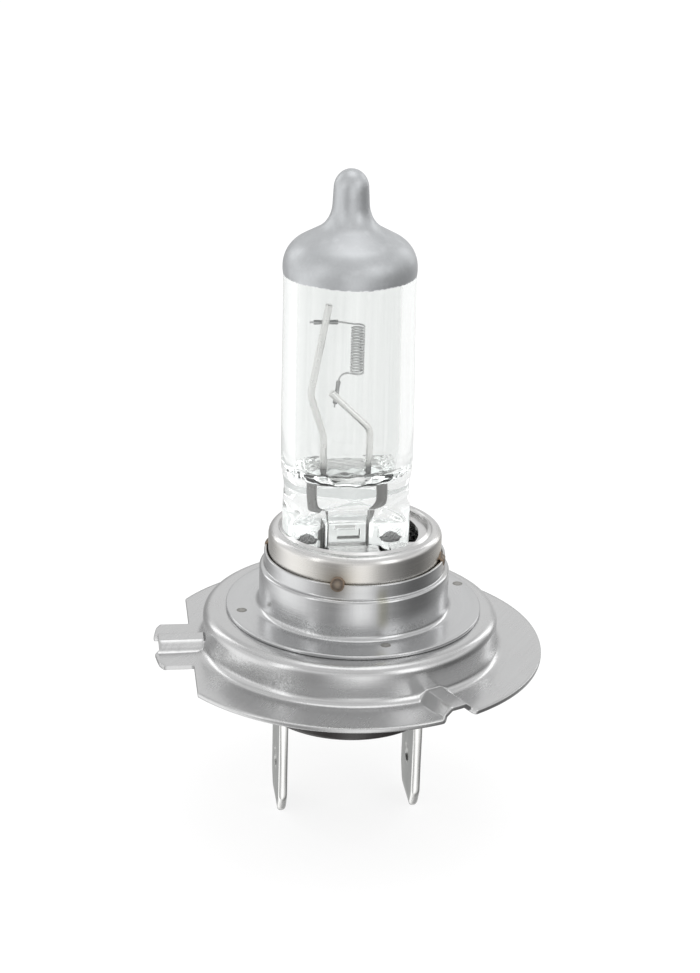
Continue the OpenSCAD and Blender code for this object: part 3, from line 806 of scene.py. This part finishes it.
def tongues():
    """The two spring tongues: a strip that bends down off the plate's edge and stands against
    the seal, its section a rounded path with the sheet's thickness. They belong to the collar's
    node, which the collar's own sheet stands for."""
    skins = []
    face = PINCH - 0.35
    line = rounded_path([(2.9, PLATE_Z - 0.26), (face + 0.25, PLATE_Z - 1.0),
                         (face, PLATE_Z - 2.3)], 0.35, 7)
    n = unit(np.stack([-np.gradient(line[:, 1]), np.gradient(line[:, 0])], 1))
    section = np.concatenate([line, (line - THIN * n * np.sign(n[0, 1]))[::-1]])
    x = np.linspace(*TONGUE, 12) + SHIFT
    ends = np.concatenate([[x[0]], x, [x[-1]]])
    size = np.concatenate([[0], np.ones(len(x)), [0]])
    middle = section.mean(0)
    for side in (-1, 1):
        p = middle + (section - middle)[None] * size[:, None, None]
        grid = np.stack([np.broadcast_to(ends[:, None], p.shape[:2]),
                         GLASS_Y + side * p[..., 0], p[..., 1]], 2)
        skins.append(skin(grid, (False, True), **collar_tags(grid)))
    piece("collar_spring_tongues", skins, steel_collar, None, 40)


# ---- Glass ----
def leaned(grid):
    """The glass's own place: narrowed by 1.8% towards the dome and by 7% more over the tip, then
    leaned about Y at the pivot and moved beside the axis."""
    c, s = math.cos(GLASS_LEAN), math.sin(GLASS_LEAN)
    z = grid[..., 2]
    drawn = 1 - 0.018 * smooth((z - 20) / 12) - 0.07 * smooth((z - 38.6) / 2.4)
    x, y, z = grid[..., 0] * drawn, grid[..., 1] * drawn, z - PIVOT_Z
    return np.stack([GLASS_X + x * c - z * s, GLASS_Y + y, PIVOT_Z + x * s + z * c], -1)


def tube_profile(grow=0.0):
    """Outline of the dome from the tube's shoulder to the tip: a shoulder arc, a neck arc that
    meets it on a 28 degree slope, and the round end of the sealed exhaust tip."""
    slope, big, neck, tip = 28, 2.6, 2.4, 1.55
    shoulder = arc((GLASS_R - big, DOME_Z), big + grow, 0, 90 - slope, 14)
    s = shoulder[-1]
    turn = math.radians(slope)
    neck_x = tip + neck
    neck_z = s[1] + ((neck - grow) - (neck_x - s[0]) * math.sin(turn)) / math.cos(turn)
    return chain(shoulder, arc((neck_x, neck_z), neck - grow, 270 - slope, 180, 14),
                 arc((0, GLASS_TIP_Z - tip), tip + grow, 0, 90, 12))


def seal_angles():
    """Angles of the glass's columns, close together where the pinched seal has its corners: even
    steps of the path length on the round tube plus that on the flat seal."""
    fine = np.linspace(0, TURN, 20001)
    c, s = np.abs(np.cos(fine)), np.abs(np.sin(fine))
    r = ((c / 5.35) ** 14 + (s / PINCH) ** 14) ** (-1 / 14)
    flat = np.hypot(np.diff(r * np.cos(fine)), np.diff(r * np.sin(fine)))
    total = np.concatenate([[0], np.cumsum(flat + 3.5 * np.diff(fine))])
    return np.interp(np.linspace(0, total[-1], 320, endpoint=False), total, fine)


def seal_half(z):
    """Half thickness that the jaws leave at height z: PINCH below SLOPE_Z, then a slope of
    SLOPE, joined by PINCH + (up + sqrt(up^2 + 0.12)) / 2."""
    up = (z - SLOPE_Z) * SLOPE
    return PINCH + (up + np.sqrt(up * up + 0.12)) / 2


def tube_radius(z):
    """Radius of the tube, slightly waisted where it was heated above the seal."""
    return GLASS_R - 0.27 * hump(z, 15.0, 1.25) - 0.14 * smooth((15 - z) / 2)


def glass_outside(t):
    """Outer face: at each height the tube's circle cut by the jaws' two planes, joined by the
    soft minimum (a^-p + b^-p)^(-1/p), with pads, window and nubs pressed in or out of the faces,
    then the plain tube and the dome."""
    low = np.concatenate([np.arange(SEAL_BOTTOM_Z, 17.6, 0.085),
                          np.arange(17.7, DOME_Z - 0.5, 0.8)])
    c, s = np.abs(np.cos(t)), np.maximum(np.abs(np.sin(t)), 1e-4)
    a = tube_radius(low)[None, :]
    b = seal_half(low)[None, :] / s[:, None]
    p = 22.0
    r = (a ** -p + b ** -p) ** (-1 / p)
    x = r * np.cos(t)[:, None]
    y = r * np.sin(t)[:, None]
    z = np.broadcast_to(low, x.shape)
    flat = smooth((np.abs(y) - 0.8 * seal_half(z)) / 0.3) * smooth((15.6 - z) / 1.2)
    ax = np.abs(x)
    slant = 1.9 + 0.28 * np.clip(z - 12, 0, 3)
    press = 0.30 * window(x, -slant, slant, 0.35) * window(z, 9.2, 14.3, 0.5)
    press += 0.26 * window(x, -0.95, 0.95, 0.14) * window(z, 10.7, 11.52, 0.14)
    press += 0.13 * window(ax, 2.55, 4.75, 0.16) * window(z, 10.75, 11.6, 0.16)
    ripple = 0.03 * np.sin(9 * x + 2) * np.sin(13 * z) + 0.02 * np.sin(21 * x + 5 * z)
    press += ripple * window(ax, 2.7, 4.6, 0.2) * window(z, 10.8, 11.55, 0.2)
    drop = 0.8 ** 2 - (ax - 3.6) ** 2 - (z - 10.45) ** 2
    press -= 0.9 * np.sqrt(np.maximum(drop, 0))
    y = y - np.sign(y) * flat * press
    x = x * (1 + 0.007 * np.sin(2 * t + 0.6)[:, None] * hump(z, 14.6, 1.2))
    wall = np.stack([x, y, z], 2)
    under = wall[:, :1] * np.array([1, 1, 0]) * np.linspace(0, 1, 6)[None, :-1, None]
    under[..., 2] = SEAL_BOTTOM_Z
    return np.concatenate([under, wall, revolved(tube_profile(), t)], 1)


def glass_inside(t):
    """Gas space: a floor bowl drawn in front to back, the bore of the tube, and a domed top. The
    floor has a shallow swelling in the middle, dips round the posts and rippled blisters at its
    two ends, each a bell over x and y that fades out up the wall."""
    bore = GLASS_R - GLASS_WALL
    bowl = arc((bore - 1.5, 17.6), 1.5, -90, 0, 14)
    inner_round = 2.0
    top_z = DOME_Z + 2.1
    profile = chain(refined(chain((0, 16.1), bowl[:1]), 0.22), bowl[1:],
                    refined(chain(bowl[-1:], (bore, top_z - inner_round)), 0.9)[1:],
                    arc((bore - inner_round, top_z - inner_round), inner_round, 0, 90, 12)[1:],
                    (0, top_z + 0.15))
    x, y, z = np.moveaxis(revolved(profile, t), -1, 0)
    near = smooth((19 - z) / 2.4)
    y = y * (1 - 0.13 * near)
    blister = np.exp(-(((np.abs(x) - 3.5) / 0.75) ** 2 + (y / 1.5) ** 2)) * near
    lumps = 0.20 + 0.16 * np.sin(7 * x + 1) * np.sin(6 * y) + 0.10 * np.sin(15 * x + 3 * y)
    z = z + 1.5 * blister * lumps
    swelling = 0.16 * np.exp(-(x ** 2 / 3.5 + y ** 2 / 2))
    dips = 0.1 * np.exp(-(((np.abs(x) - 2) / 0.6) ** 2 + (y / 0.6) ** 2))
    z = z + near * (swelling - dips + 0.03 * np.sin(4 * x) * np.cos(5 * y))
    return np.stack([x, y, z], 2)


def frosting(grid):
    """Share of light that the pressed faces scatter: strongest on the outer pads, faint on the
    slopes above them, and least in the middle window. The rear face is frosted further down."""
    # This share also sets where the glass has a painted glow, seen from inside it.
    x, y, z = np.abs(grid[..., 0]), grid[..., 1], grid[..., 2]
    low = window(z, np.where(y > 0, 8.9, 10.4), 12.1, 0.3) * smooth((np.abs(y) - 1.4) / 0.4)
    pads = smooth((x - 2.2) / 0.5)
    speckle = 0.5 + 0.5 * np.sin(19 * x + 2) * np.sin(23 * z + 3 * x)
    rough = window(x, 2.9, 4.6, 0.2) * window(z, 10.75, 11.6, 0.2) * speckle
    share = low * (0.05 + 0.04 * pads + 0.3 * rough) + 0.04 * window(z, 12.1, 14.6, 0.6)
    share += low * smooth(y / 0.5) * (0.44 + 0.3 * pads - 0.25 * rough)
    return share * (1 - 0.6 * window(x, -0.95, 0.95, 0.1) * window(z, 10.7, 11.5, 0.1))


def glass_bulb():
    """The envelope: its outer face, and the gas space turned inward."""
    t = seal_angles()
    outside, inside = glass_outside(t), glass_inside(t)
    piece("glass_envelope", [
        skin(leaned(outside), (True, False), frost=frosting(outside)),
        skin(leaned(inside), (True, False), inside=True, frost=0 * inside[..., 0])],
        glass_clear, "glass_bulb", 70)


def tip_coating():
    """Paint over the dome and the tip: the glass's own outline grown by the paint, with a wavy
    lower edge that feathers out over half a millimetre."""
    t = even_turn(240)
    edge = COAT_Z + 0.05 * np.sin(2 * t + 0.5) + 0.03 * np.sin(5 * t) + 0.015 * np.sin(11 * t + 1)
    share = np.linspace(0, 1, 7)[:-1]

    def face(grow):
        dome = revolved(tube_profile(grow), t)
        z = edge[:, None] + share[None] * (DOME_Z - edge)[:, None]
        feather = GLASS_R + COAT_GAP + (grow - COAT_GAP) * smooth((z - edge[:, None]) / 0.35)
        side = np.stack([feather * np.cos(t)[:, None], feather * np.sin(t)[:, None], z], 2)
        return np.concatenate([side, dome], 1)

    outer, inner = face(COAT_T), face(COAT_GAP)
    shell = np.concatenate([outer, inner[:, ::-1]], 1)
    against_glass = np.arange(shell.shape[1]) >= outer.shape[1]
    tag = np.broadcast_to(against_glass.astype(float), shell.shape[:2])
    piece("tip_paint_coat", [skin(leaned(shell), (True, True), inner=tag)], paint_tip,
          "tip_coating", 80)


# ---- Filament and lead posts ----
def seal_x(x, z):
    """Side place of a lead post at height z in the leaning seal."""
    return GLASS_X + x - (z - PIVOT_Z) * math.sin(GLASS_LEAN)


def lead_post(name, x, bends, node):
    """A lead post: round wire, straight up through the seal and then bent in the plane of both
    posts, with bevelled ends."""
    corners = [(seal_x(x, 0.4), GLASS_Y, 0.4)] + [(px, GLASS_Y, pz) for px, pz in bends]
    path = refined(rounded_path(corners, 0.5), 0.35)
    piece(name, [skin(swept(path, POST_D, 24), (False, True))], post_metal, node, 40)


def filament_path():
    """Upper leg, helix (r cos a, r sin a, falling evenly with a), lower leg and its bend down."""
    r = (COIL_D - WIRE_D) / 2
    a = np.radians(90) - np.linspace(0, COIL_TURNS * TURN, int(COIL_TURNS * 28) + 1)
    coil = np.stack([r * np.cos(a), r * np.sin(a),
                     COIL_Z0 + COIL_LEN * (1 - np.linspace(0, 1, len(a)))], 1)
    leg_end = UPPER_SLEEVE[1]
    t = np.linspace(0, 1, 14)[:-1, None]
    ease = smooth(t)
    leg_in = leg_end + (coil[0] - leg_end) * ease
    leg_in[:, :1] += (t - ease) * (coil[0] - leg_end)[0]
    top, end = LOWER_SLEEVE
    out = unit(end - top)
    corner = top - 0.7 * out
    t = np.linspace(0, 1, 10)[1:, None]
    turn_in = corner + [0.7, 0, 0]
    leg_out = coil[-1] + (turn_in - coil[-1]) * t
    bend = (1 - t) ** 2 * turn_in + 2 * t * (1 - t) * corner + t ** 2 * top
    return np.concatenate([[UPPER_SLEEVE[0] - [STUB, 0, 0]], leg_in, coil, leg_out, bend,
                           [end + STUB * out]])


def crimped_sleeve(name, ends, node):
    """A small sleeve on the leg: a straight tube with two shallow crimps,
    R (1 - 0.13 (bell at 0.35 + bell at 0.62 of its length))."""
    start, end = ends
    path = start + (end - start) * np.linspace(0, 1, 15)[:, None]
    grid = swept(path, CRIMP_D, 18, flat_ends=0.2)
    s = np.linspace(0, 1, grid.shape[0])
    dips = 1 - 0.13 * (hump(s, 0.35, 0.07) + hump(s, 0.62, 0.07))
    centre = np.concatenate([path[:1], path[:1], path, path[-1:], path[-1:]])[:, None]
    grid = centre + (grid - centre) * dips[:, None, None]
    piece(name, [skin(grid, (False, True))], sleeve_metal, node, 45)


# ---- Welds ----
def disc_cap(radius, *heights):
    """A round spot: rings of the given radius shares and heights, closed under by a flat disc.
    Returns the grid about its own axis Z and the share of the radius at each point."""
    share, height = np.array(heights, float).T
    grid = revolved(np.stack([share * radius, height], 1), 48)
    return grid, np.broadcast_to(share, grid.shape[:2])


def collar_welds():
    """Four fused spots over the seam of collar and sleeve: low rings round a raised middle,
    wrapped on the cylinder of the lip and sunk on their upper side to reach the collar's wall."""
    cap, share = disc_cap(
        COLLAR_WELD_R, (0, 0.03), (0.12, 0.032), (0.22, 0.012), (0.33, 0.034), (0.44, 0.01),
        (0.56, 0.038), (0.68, 0.008), (0.8, 0.026), (0.9, 0.016), (1, -0.012), (0.98, -0.25),
        (0, -0.25))
    for i, angle in enumerate(np.radians(WELD_ANGLES)):
        out = np.array([np.cos(angle), np.sin(angle), 0])
        side = np.array([-np.sin(angle), np.cos(angle), 0])
        drop = -0.31 * smooth(cap[..., 1] / 0.32)
        base = np.array([SHIFT, 0, LIP_Z - 0.03]) + (COLLAR_R + THIN + 0.03) * out
        depth = cap[..., 2] + drop - cap[..., 0] ** 2 / (2 * COLLAR_R)
        grid = base + cap[..., :1] * side + cap[..., 1:2] * UP + depth[..., None] * out
        piece(f"collar_weld_spot_{i + 1}", [skin(grid, (True, False), ring=share)], weld_brown,
              f"collar_weld_{i + 1}", 70)


def disc_welds():
    """Four prints of the spot-welding tip on the disc: a shallow dish inside a faint ring, at
    (r cos a, r sin a) from the sleeve's axis."""
    cap, share = disc_cap(DISC_WELD_R, (0, 0.008), (0.35, 0.008), (0.6, 0.01), (0.78, 0.022),
                          (0.9, 0.016), (1, -0.01), (0.98, -0.3), (0, -0.3))
    for i, (r, degrees) in enumerate(DISC_WELD_PLACES):
        angle = math.radians(degrees)
        place = np.array([SHIFT + r * math.cos(angle), r * math.sin(angle), DISC_Z + THIN])
        piece(f"disc_weld_print_{i + 1}", [skin(cap + place, (True, False), ring=share)],
              spot_grey, f"disc_weld_{i + 1}", 70)


def lead_beads():
    """The fused foot of each lead post: a low dome with a ripple, 1.3 mm across."""
    cap, share = disc_cap(BEAD_R, (0, 0.4), (0.3, 0.39), (0.5, 0.33), (0.62, 0.31), (0.75, 0.25),
                          (0.9, 0.12), (1, 0.0), (0.97, -0.05), (0, -0.05))
    for side, sign in (("left", -1), ("right", 1)):
        place = np.array([seal_x(POST_X * sign, 0), GLASS_Y, 0])
        piece(f"{side}_lead_bead", [skin(cap + place, (True, False), ring=share)], spot_grey,
              f"{side}_lead_weld", 70)


# ---- Terminals ----
def rounded_convex(corners, centre, angles, p):
    """Distance from the centre to a convex outline at each angle: the soft minimum
    (sum of a^-p)^(-1/p) over its sides of a = d / cos(angle - side's normal)."""
    corners = np.asarray(corners, float) - centre
    nxt = np.roll(corners, -1, 0)
    side = nxt - corners
    normal = unit(np.stack([side[:, 1], -side[:, 0]], 1))
    d = (normal * corners).sum(1)
    normal, d = normal * np.sign(d)[:, None], np.abs(d)
    facing = (normal[:, 0][None] * np.cos(angles)[:, None]
              + normal[:, 1][None] * np.sin(angles)[:, None])
    reach = np.where(facing > 1e-3, d[None] / np.maximum(facing, 1e-3), 1e6)
    return (np.minimum(reach, 1e3) ** -p).sum(1) ** (-1 / p)


def box_ring(low, high, bevel, count=12):
    """A block with rounded edges: the superellipsoid |x|^n + |y|^n + |z|^n = 1 pulled over it."""
    u = np.linspace(-np.pi / 2, np.pi / 2, 4 * count)
    v = even_turn(8 * count)
    n = 2 / bevel

    def power(w):
        return np.sign(w) * np.abs(w) ** (2 / n)

    half = (np.asarray(high) - low) / 2
    x = power(np.cos(u))[None] * power(np.cos(v))[:, None]
    y = power(np.cos(u))[None] * power(np.sin(v))[:, None]
    z = np.broadcast_to(power(np.sin(u)), x.shape)
    return np.stack([x, y, z], 2) * half + (np.asarray(low) + high) / 2


def terminal(side, name, node):
    """A blade: the flat between the detent hole and its outline, carried round as a closed
    section with rounded edges, thinned towards its end, and the ear that reaches the post."""
    half, tip = BLADE_W / 2, TIP_W / 2
    corners = [(-half, 0), (half, 0), (half, BLADE_Z + TIP_H), (tip, BLADE_Z), (-tip, BLADE_Z),
               (-half, BLADE_Z + TIP_H)]
    t = gathered(300, [math.degrees(math.atan2(z - DETENT_Z, y)) for y, z in corners], 6, 6)
    outline = rounded_convex(corners, np.array([0, DETENT_Z]), t, 46)
    edge, hole_edge = 0.17, 0.07
    face = DETENT_D / 2 + hole_edge
    a = np.radians(np.linspace(0, 180, 9))[1:-1]
    hole_a = np.radians(np.linspace(180, 0, 5))[1:-1]
    face_r = face + np.linspace(0, 1, 12)[None] * (outline - edge - face)[:, None]
    out_r = outline[:, None] - edge + edge * np.sin(a)[None]
    hole_r = np.broadcast_to(face - hole_edge * np.sin(hole_a), (len(t), len(hole_a)))
    r = np.concatenate([face_r, out_r, face_r[:, ::-1], hole_r], 1)
    depth = np.concatenate([np.ones(12), np.cos(a), -np.ones(12), np.cos(hole_a)])
    y = r * np.cos(t)[:, None]
    z = DETENT_Z + r * np.sin(t)[:, None]
    thin = BLADE_T / 2 - 0.14 * (1 - np.clip((z - BLADE_Z) / 0.8, 0, 1)) ** 2
    blade = np.stack([side * BLADE_X + depth[None] * thin, y, z], 2)
    # Painted highlight on the rounded edge rows and the hole's rim, and worn bright metal near the
    # blade's end.
    painted_edge_highlight_and_worn_end = np.concatenate([np.zeros(11), np.ones(9), np.zeros(10), np.full(4, 0.3)])
    painted_edge_highlight_and_worn_end = np.maximum(painted_edge_highlight_and_worn_end, smooth((BLADE_Z + 1.3 - z) / 1.2))
    ends = np.sort([seal_x(POST_X * side, 0) - side * 0.6, side * BLADE_X])
    ear = box_ring([ends[0], GLASS_Y - EAR_W / 2, -BLADE_T],
                   [ends[1], GLASS_Y + EAR_W / 2, 0], 0.18)
    piece(name, [skin(blade, (True, True), edge=painted_edge_highlight_and_worn_end),
                 skin(ear, (True, False), edge=0 * ear[..., 0])],
          blade_tin, node, 50)


# ---- Insulator ----
def insulator():
    """The moulding: a wide collar gripped in the drum, a body below it, an open chamber above.
    The underside is a height field with a raised rim, a pocket round each blade, two ribs
    between them and a sunk middle with a gate mark."""
    wide, high_z, low_z = insulator_high[0], insulator_high[2], insulator_low[2]
    body_r, edge, chamber_r, chamber_z = 8.0, 0.45, 7.3, -0.8
    under = np.stack([np.linspace(0, body_r - edge, 90), np.full(90, low_z)], 1)
    profile = chain(under, arc((body_r - edge, low_z + edge), edge, 270, 360, 7)[1:],
                    (body_r, 0.35), arc((body_r + 0.15, 0.35), 0.15, 180, 90, 4)[1:],
                    (wide - 0.2, 0.5), (wide, 0.7), (wide, 2.45), (wide - 0.5, high_z),
                    (chamber_r + 0.15, high_z), (chamber_r, high_z - 0.15),
                    (chamber_r, chamber_z), (0, chamber_z))
    profile = chain(under, refined(profile[90:], 0.5))
    grid = revolved(profile, 288)
    x, y, z = np.moveaxis(grid, -1, 0)
    r = np.hypot(x, y)
    bottom = np.arange(r.shape[1]) < len(under)
    pocket = window(np.abs(np.abs(x) - BLADE_X), -1, 0.75, 0.12) * window(y, -3.5, 3.5, 0.12)
    rise = 0.35 * pocket
    rise = rise + 0.45 * window(r, -1, 3.2, 0.2) - 0.25 * window(r, -1, 0.7, 0.15)
    rise = rise + 0.3 * window(np.abs(y), 5.0, 5.7, 0.15) * window(x, -3.2, 3.2, 0.15)
    rise = rise + 0.2 * window(r, 6.9, 7.15, 0.15)
    z = z + bottom * rise
    piece("insulator_moulding", [skin(np.stack([x, y, z], 2), (True, False))], moulding,
          "insulator", 55)


# ---- Stage, light and camera ----
def softbox(name, place, aim, size, power):
    """A soft area light at place, turned to the point aim, in millimetres and watts."""
    light = bpy.data.lights.new(name, "AREA")
    light.shape = "RECTANGLE"
    light.size, light.size_y = size[0] * MM, size[1] * MM
    light.energy = power
    at, to = Vector(place) * MM, Vector(aim) * MM
    turned = (at - to).to_track_quat("Z", "Y").to_matrix().to_4x4()
    placed(name, light).matrix_world = Matrix.Translation(at) @ turned


def floor():
    """A pale floor under the tips of the blades, which glows a little so that shadows are soft."""
    mesh = bpy.data.meshes.new("floor")
    half, z = 3000 * MM, (BLADE_Z - 0.02) * MM
    mesh.from_pydata([(-half, -half, z), (half, -half, z), (half, half, z), (-half, half, z)], [],
                     [(0, 1, 2, 3)])
    m = Recipe("floor_paper")
    mesh.materials.append(m.finish(
        m.mix(m.noise(9, 2, 0.5), grey(0.22), grey(0.25)), 0.9, Specular_IOR_Level=0.1,
        Emission_Color=(1, 1, 1), Emission_Strength=0.8))
    obj = placed("floor", mesh)
    obj.visible_glossy = False


def ring_of_tones(m, place, stops):
    """Grey levels along an input from 0 to 1, even between the stops, as an output socket."""
    ramp = m.node("ValToRGB", {0: place})
    elements = ramp.color_ramp.elements
    elements[0].position, elements[1].position = stops[0][0], stops[-1][0]
    for position, level in stops[1:-1]:
        elements.new(position)
    for element, (position, level) in zip(elements, stops):
        element.color = (level, level, level, 1)
    return ramp.outputs[0]


def studio():
    """White surroundings for what is seen directly or through glass, and for what metal mirrors a
    room whose tone changes round the horizon, paler overhead, with soft lights."""
    m = Recipe("studio", "worlds", "OutputWorld")
    bpy.context.scene.world = m.owner
    path = m.node("LightPath").outputs
    way = m.node("SeparateXYZ", {0: m.node("TexCoord").outputs["Generated"]}).outputs
    bearing = m.spread(m.math("ARCTAN2", way["Y"], way["X"]), -math.pi, math.pi)
    horizon = ring_of_tones(m, bearing, [((a + 180) / 360, level) for a, level in ROOM])
    above = ring_of_tones(m, m.spread(way["Z"], 0, 1), SKY)
    rise = m.spread(way["Z"], -0.02, 0.38, shape="SMOOTHSTEP")
    white = m.node("Background", {"Color": (1, 1, 1), "Strength": 1.0}).outputs[0]
    room = m.node("Background", {"Color": m.mix(rise, horizon, above), "Strength": 1.0}).outputs[0]
    mirrored = m.math("SUBTRACT", path["Is Glossy Ray"], path["Is Transmission Ray"], clamp=True)
    seen = m.node("MixShader", {0: mirrored, 1: white, 2: room}).outputs[0]
    m.tree.links.new(seen, m.out.inputs[0])
    softbox("front_right", (190, -230, 150), (0, 0, 12), (120, 200), 0.10)
    softbox("front_left", (-260, -160, 110), (0, 0, 12), (50, 240), 0.06)
    softbox("over", (20, 40, 330), (0, 0, 0), (220, 200), 0.16)
    softbox("rear_right", (240, 180, 120), (0, 0, 10), (60, 220), 0.07)
    softbox("rear_left", (-220, 200, 140), (0, 0, 10), (60, 220), 0.07)


def camera():
    """The camera stands 188.6 mm from the origin, 25.3 degrees up and 7.9 degrees to the left of
    the front, and is then turned a little in yaw, pitch and roll to frame the lamp."""
    distance, elevation, azimuth = 188.6 * MM, math.radians(25.32), math.radians(-7.88)
    yaw, pitch, roll = 0.10, 4.12, -1.71
    cam = bpy.data.cameras.new("camera")
    cam.sensor_fit = "VERTICAL"
    cam.sensor_height = 36
    cam.lens = 78.44
    cam.clip_start = 0.001
    back = Vector((0, -math.cos(elevation), math.sin(elevation)))
    right = Vector((1, 0, 0))
    axes = [right, back.cross(right), back]
    for angle, which in ((yaw, 1), (pitch, 0), (-roll, 2)):
        turn = Matrix.Rotation(math.radians(angle), 3, axes[which])
        axes = [turn @ axis for axis in axes]
    spin = Matrix.Rotation(azimuth, 3, "Z")
    basis = Matrix([spin @ axis for axis in axes]).transposed().to_4x4()
    obj = placed("camera", cam)
    obj.matrix_world = Matrix.Translation(spin @ back * distance) @ basis
    bpy.context.scene.camera = obj
    bpy.context.scene.view_settings.view_transform = "Standard"


# ---- Build ----
steel_cap = drawn_steel("satin_cap_steel", grey(0.555, -0.002), 0.26, 0.45, 0.5, 0.4)
steel_sleeve = drawn_steel("satin_sleeve_steel", grey(0.54, -0.006), 0.24, 0.7, 0.6, 0.5, True)
steel_collar = drawn_steel("satin_collar_steel", grey(0.65, 0.004), 0.26, 0.6, 0.3, 0.45, True)
glass_clear = clear_glass()
paint_tip = tip_paint()
post_metal = wire_metal("drawn_post_metal", grey(0.86, 0.01), 0.3, 5200, 0.1, sealed=0.8)
sleeve_metal = wire_metal("crimp_sleeve_metal", grey(0.42), 0.36, 5600)
tungsten = wire_metal("tungsten_wire", grey(0.6), 0.36, 6500)
weld_brown = weld_scale()
spot_grey = spot_scale()
moulding = black_moulding()
blade_tin = tinned_brass()

base_flange()
focus_sleeve()
collar_piece()
tongues()
glass_bulb()
tip_coating()
lead_post("long_post_wire", -POST_X, [(-2.76, 19.5), (-3.95, 23.2), (-2.54, 31.1)],
          "long_lead_post")
lead_post("short_post_wire", POST_X, [(1.2, 20.1), (-2.22, 23.38)], "short_lead_post")
piece("filament_coil_wire", [skin(swept(filament_path(), WIRE_D, 10, (0, 0, 1)), (False, True))],
      tungsten, "filament", 38)
crimped_sleeve("upper_leg_crimp", UPPER_SLEEVE, "upper_leg_sleeve")
crimped_sleeve("lower_leg_crimp", LOWER_SLEEVE, "lower_leg_sleeve")
collar_welds()
disc_welds()
lead_beads()
terminal(-1, "left_blade", "left_terminal")
terminal(1, "right_blade", "right_terminal")
insulator()
floor()
studio()
camera()
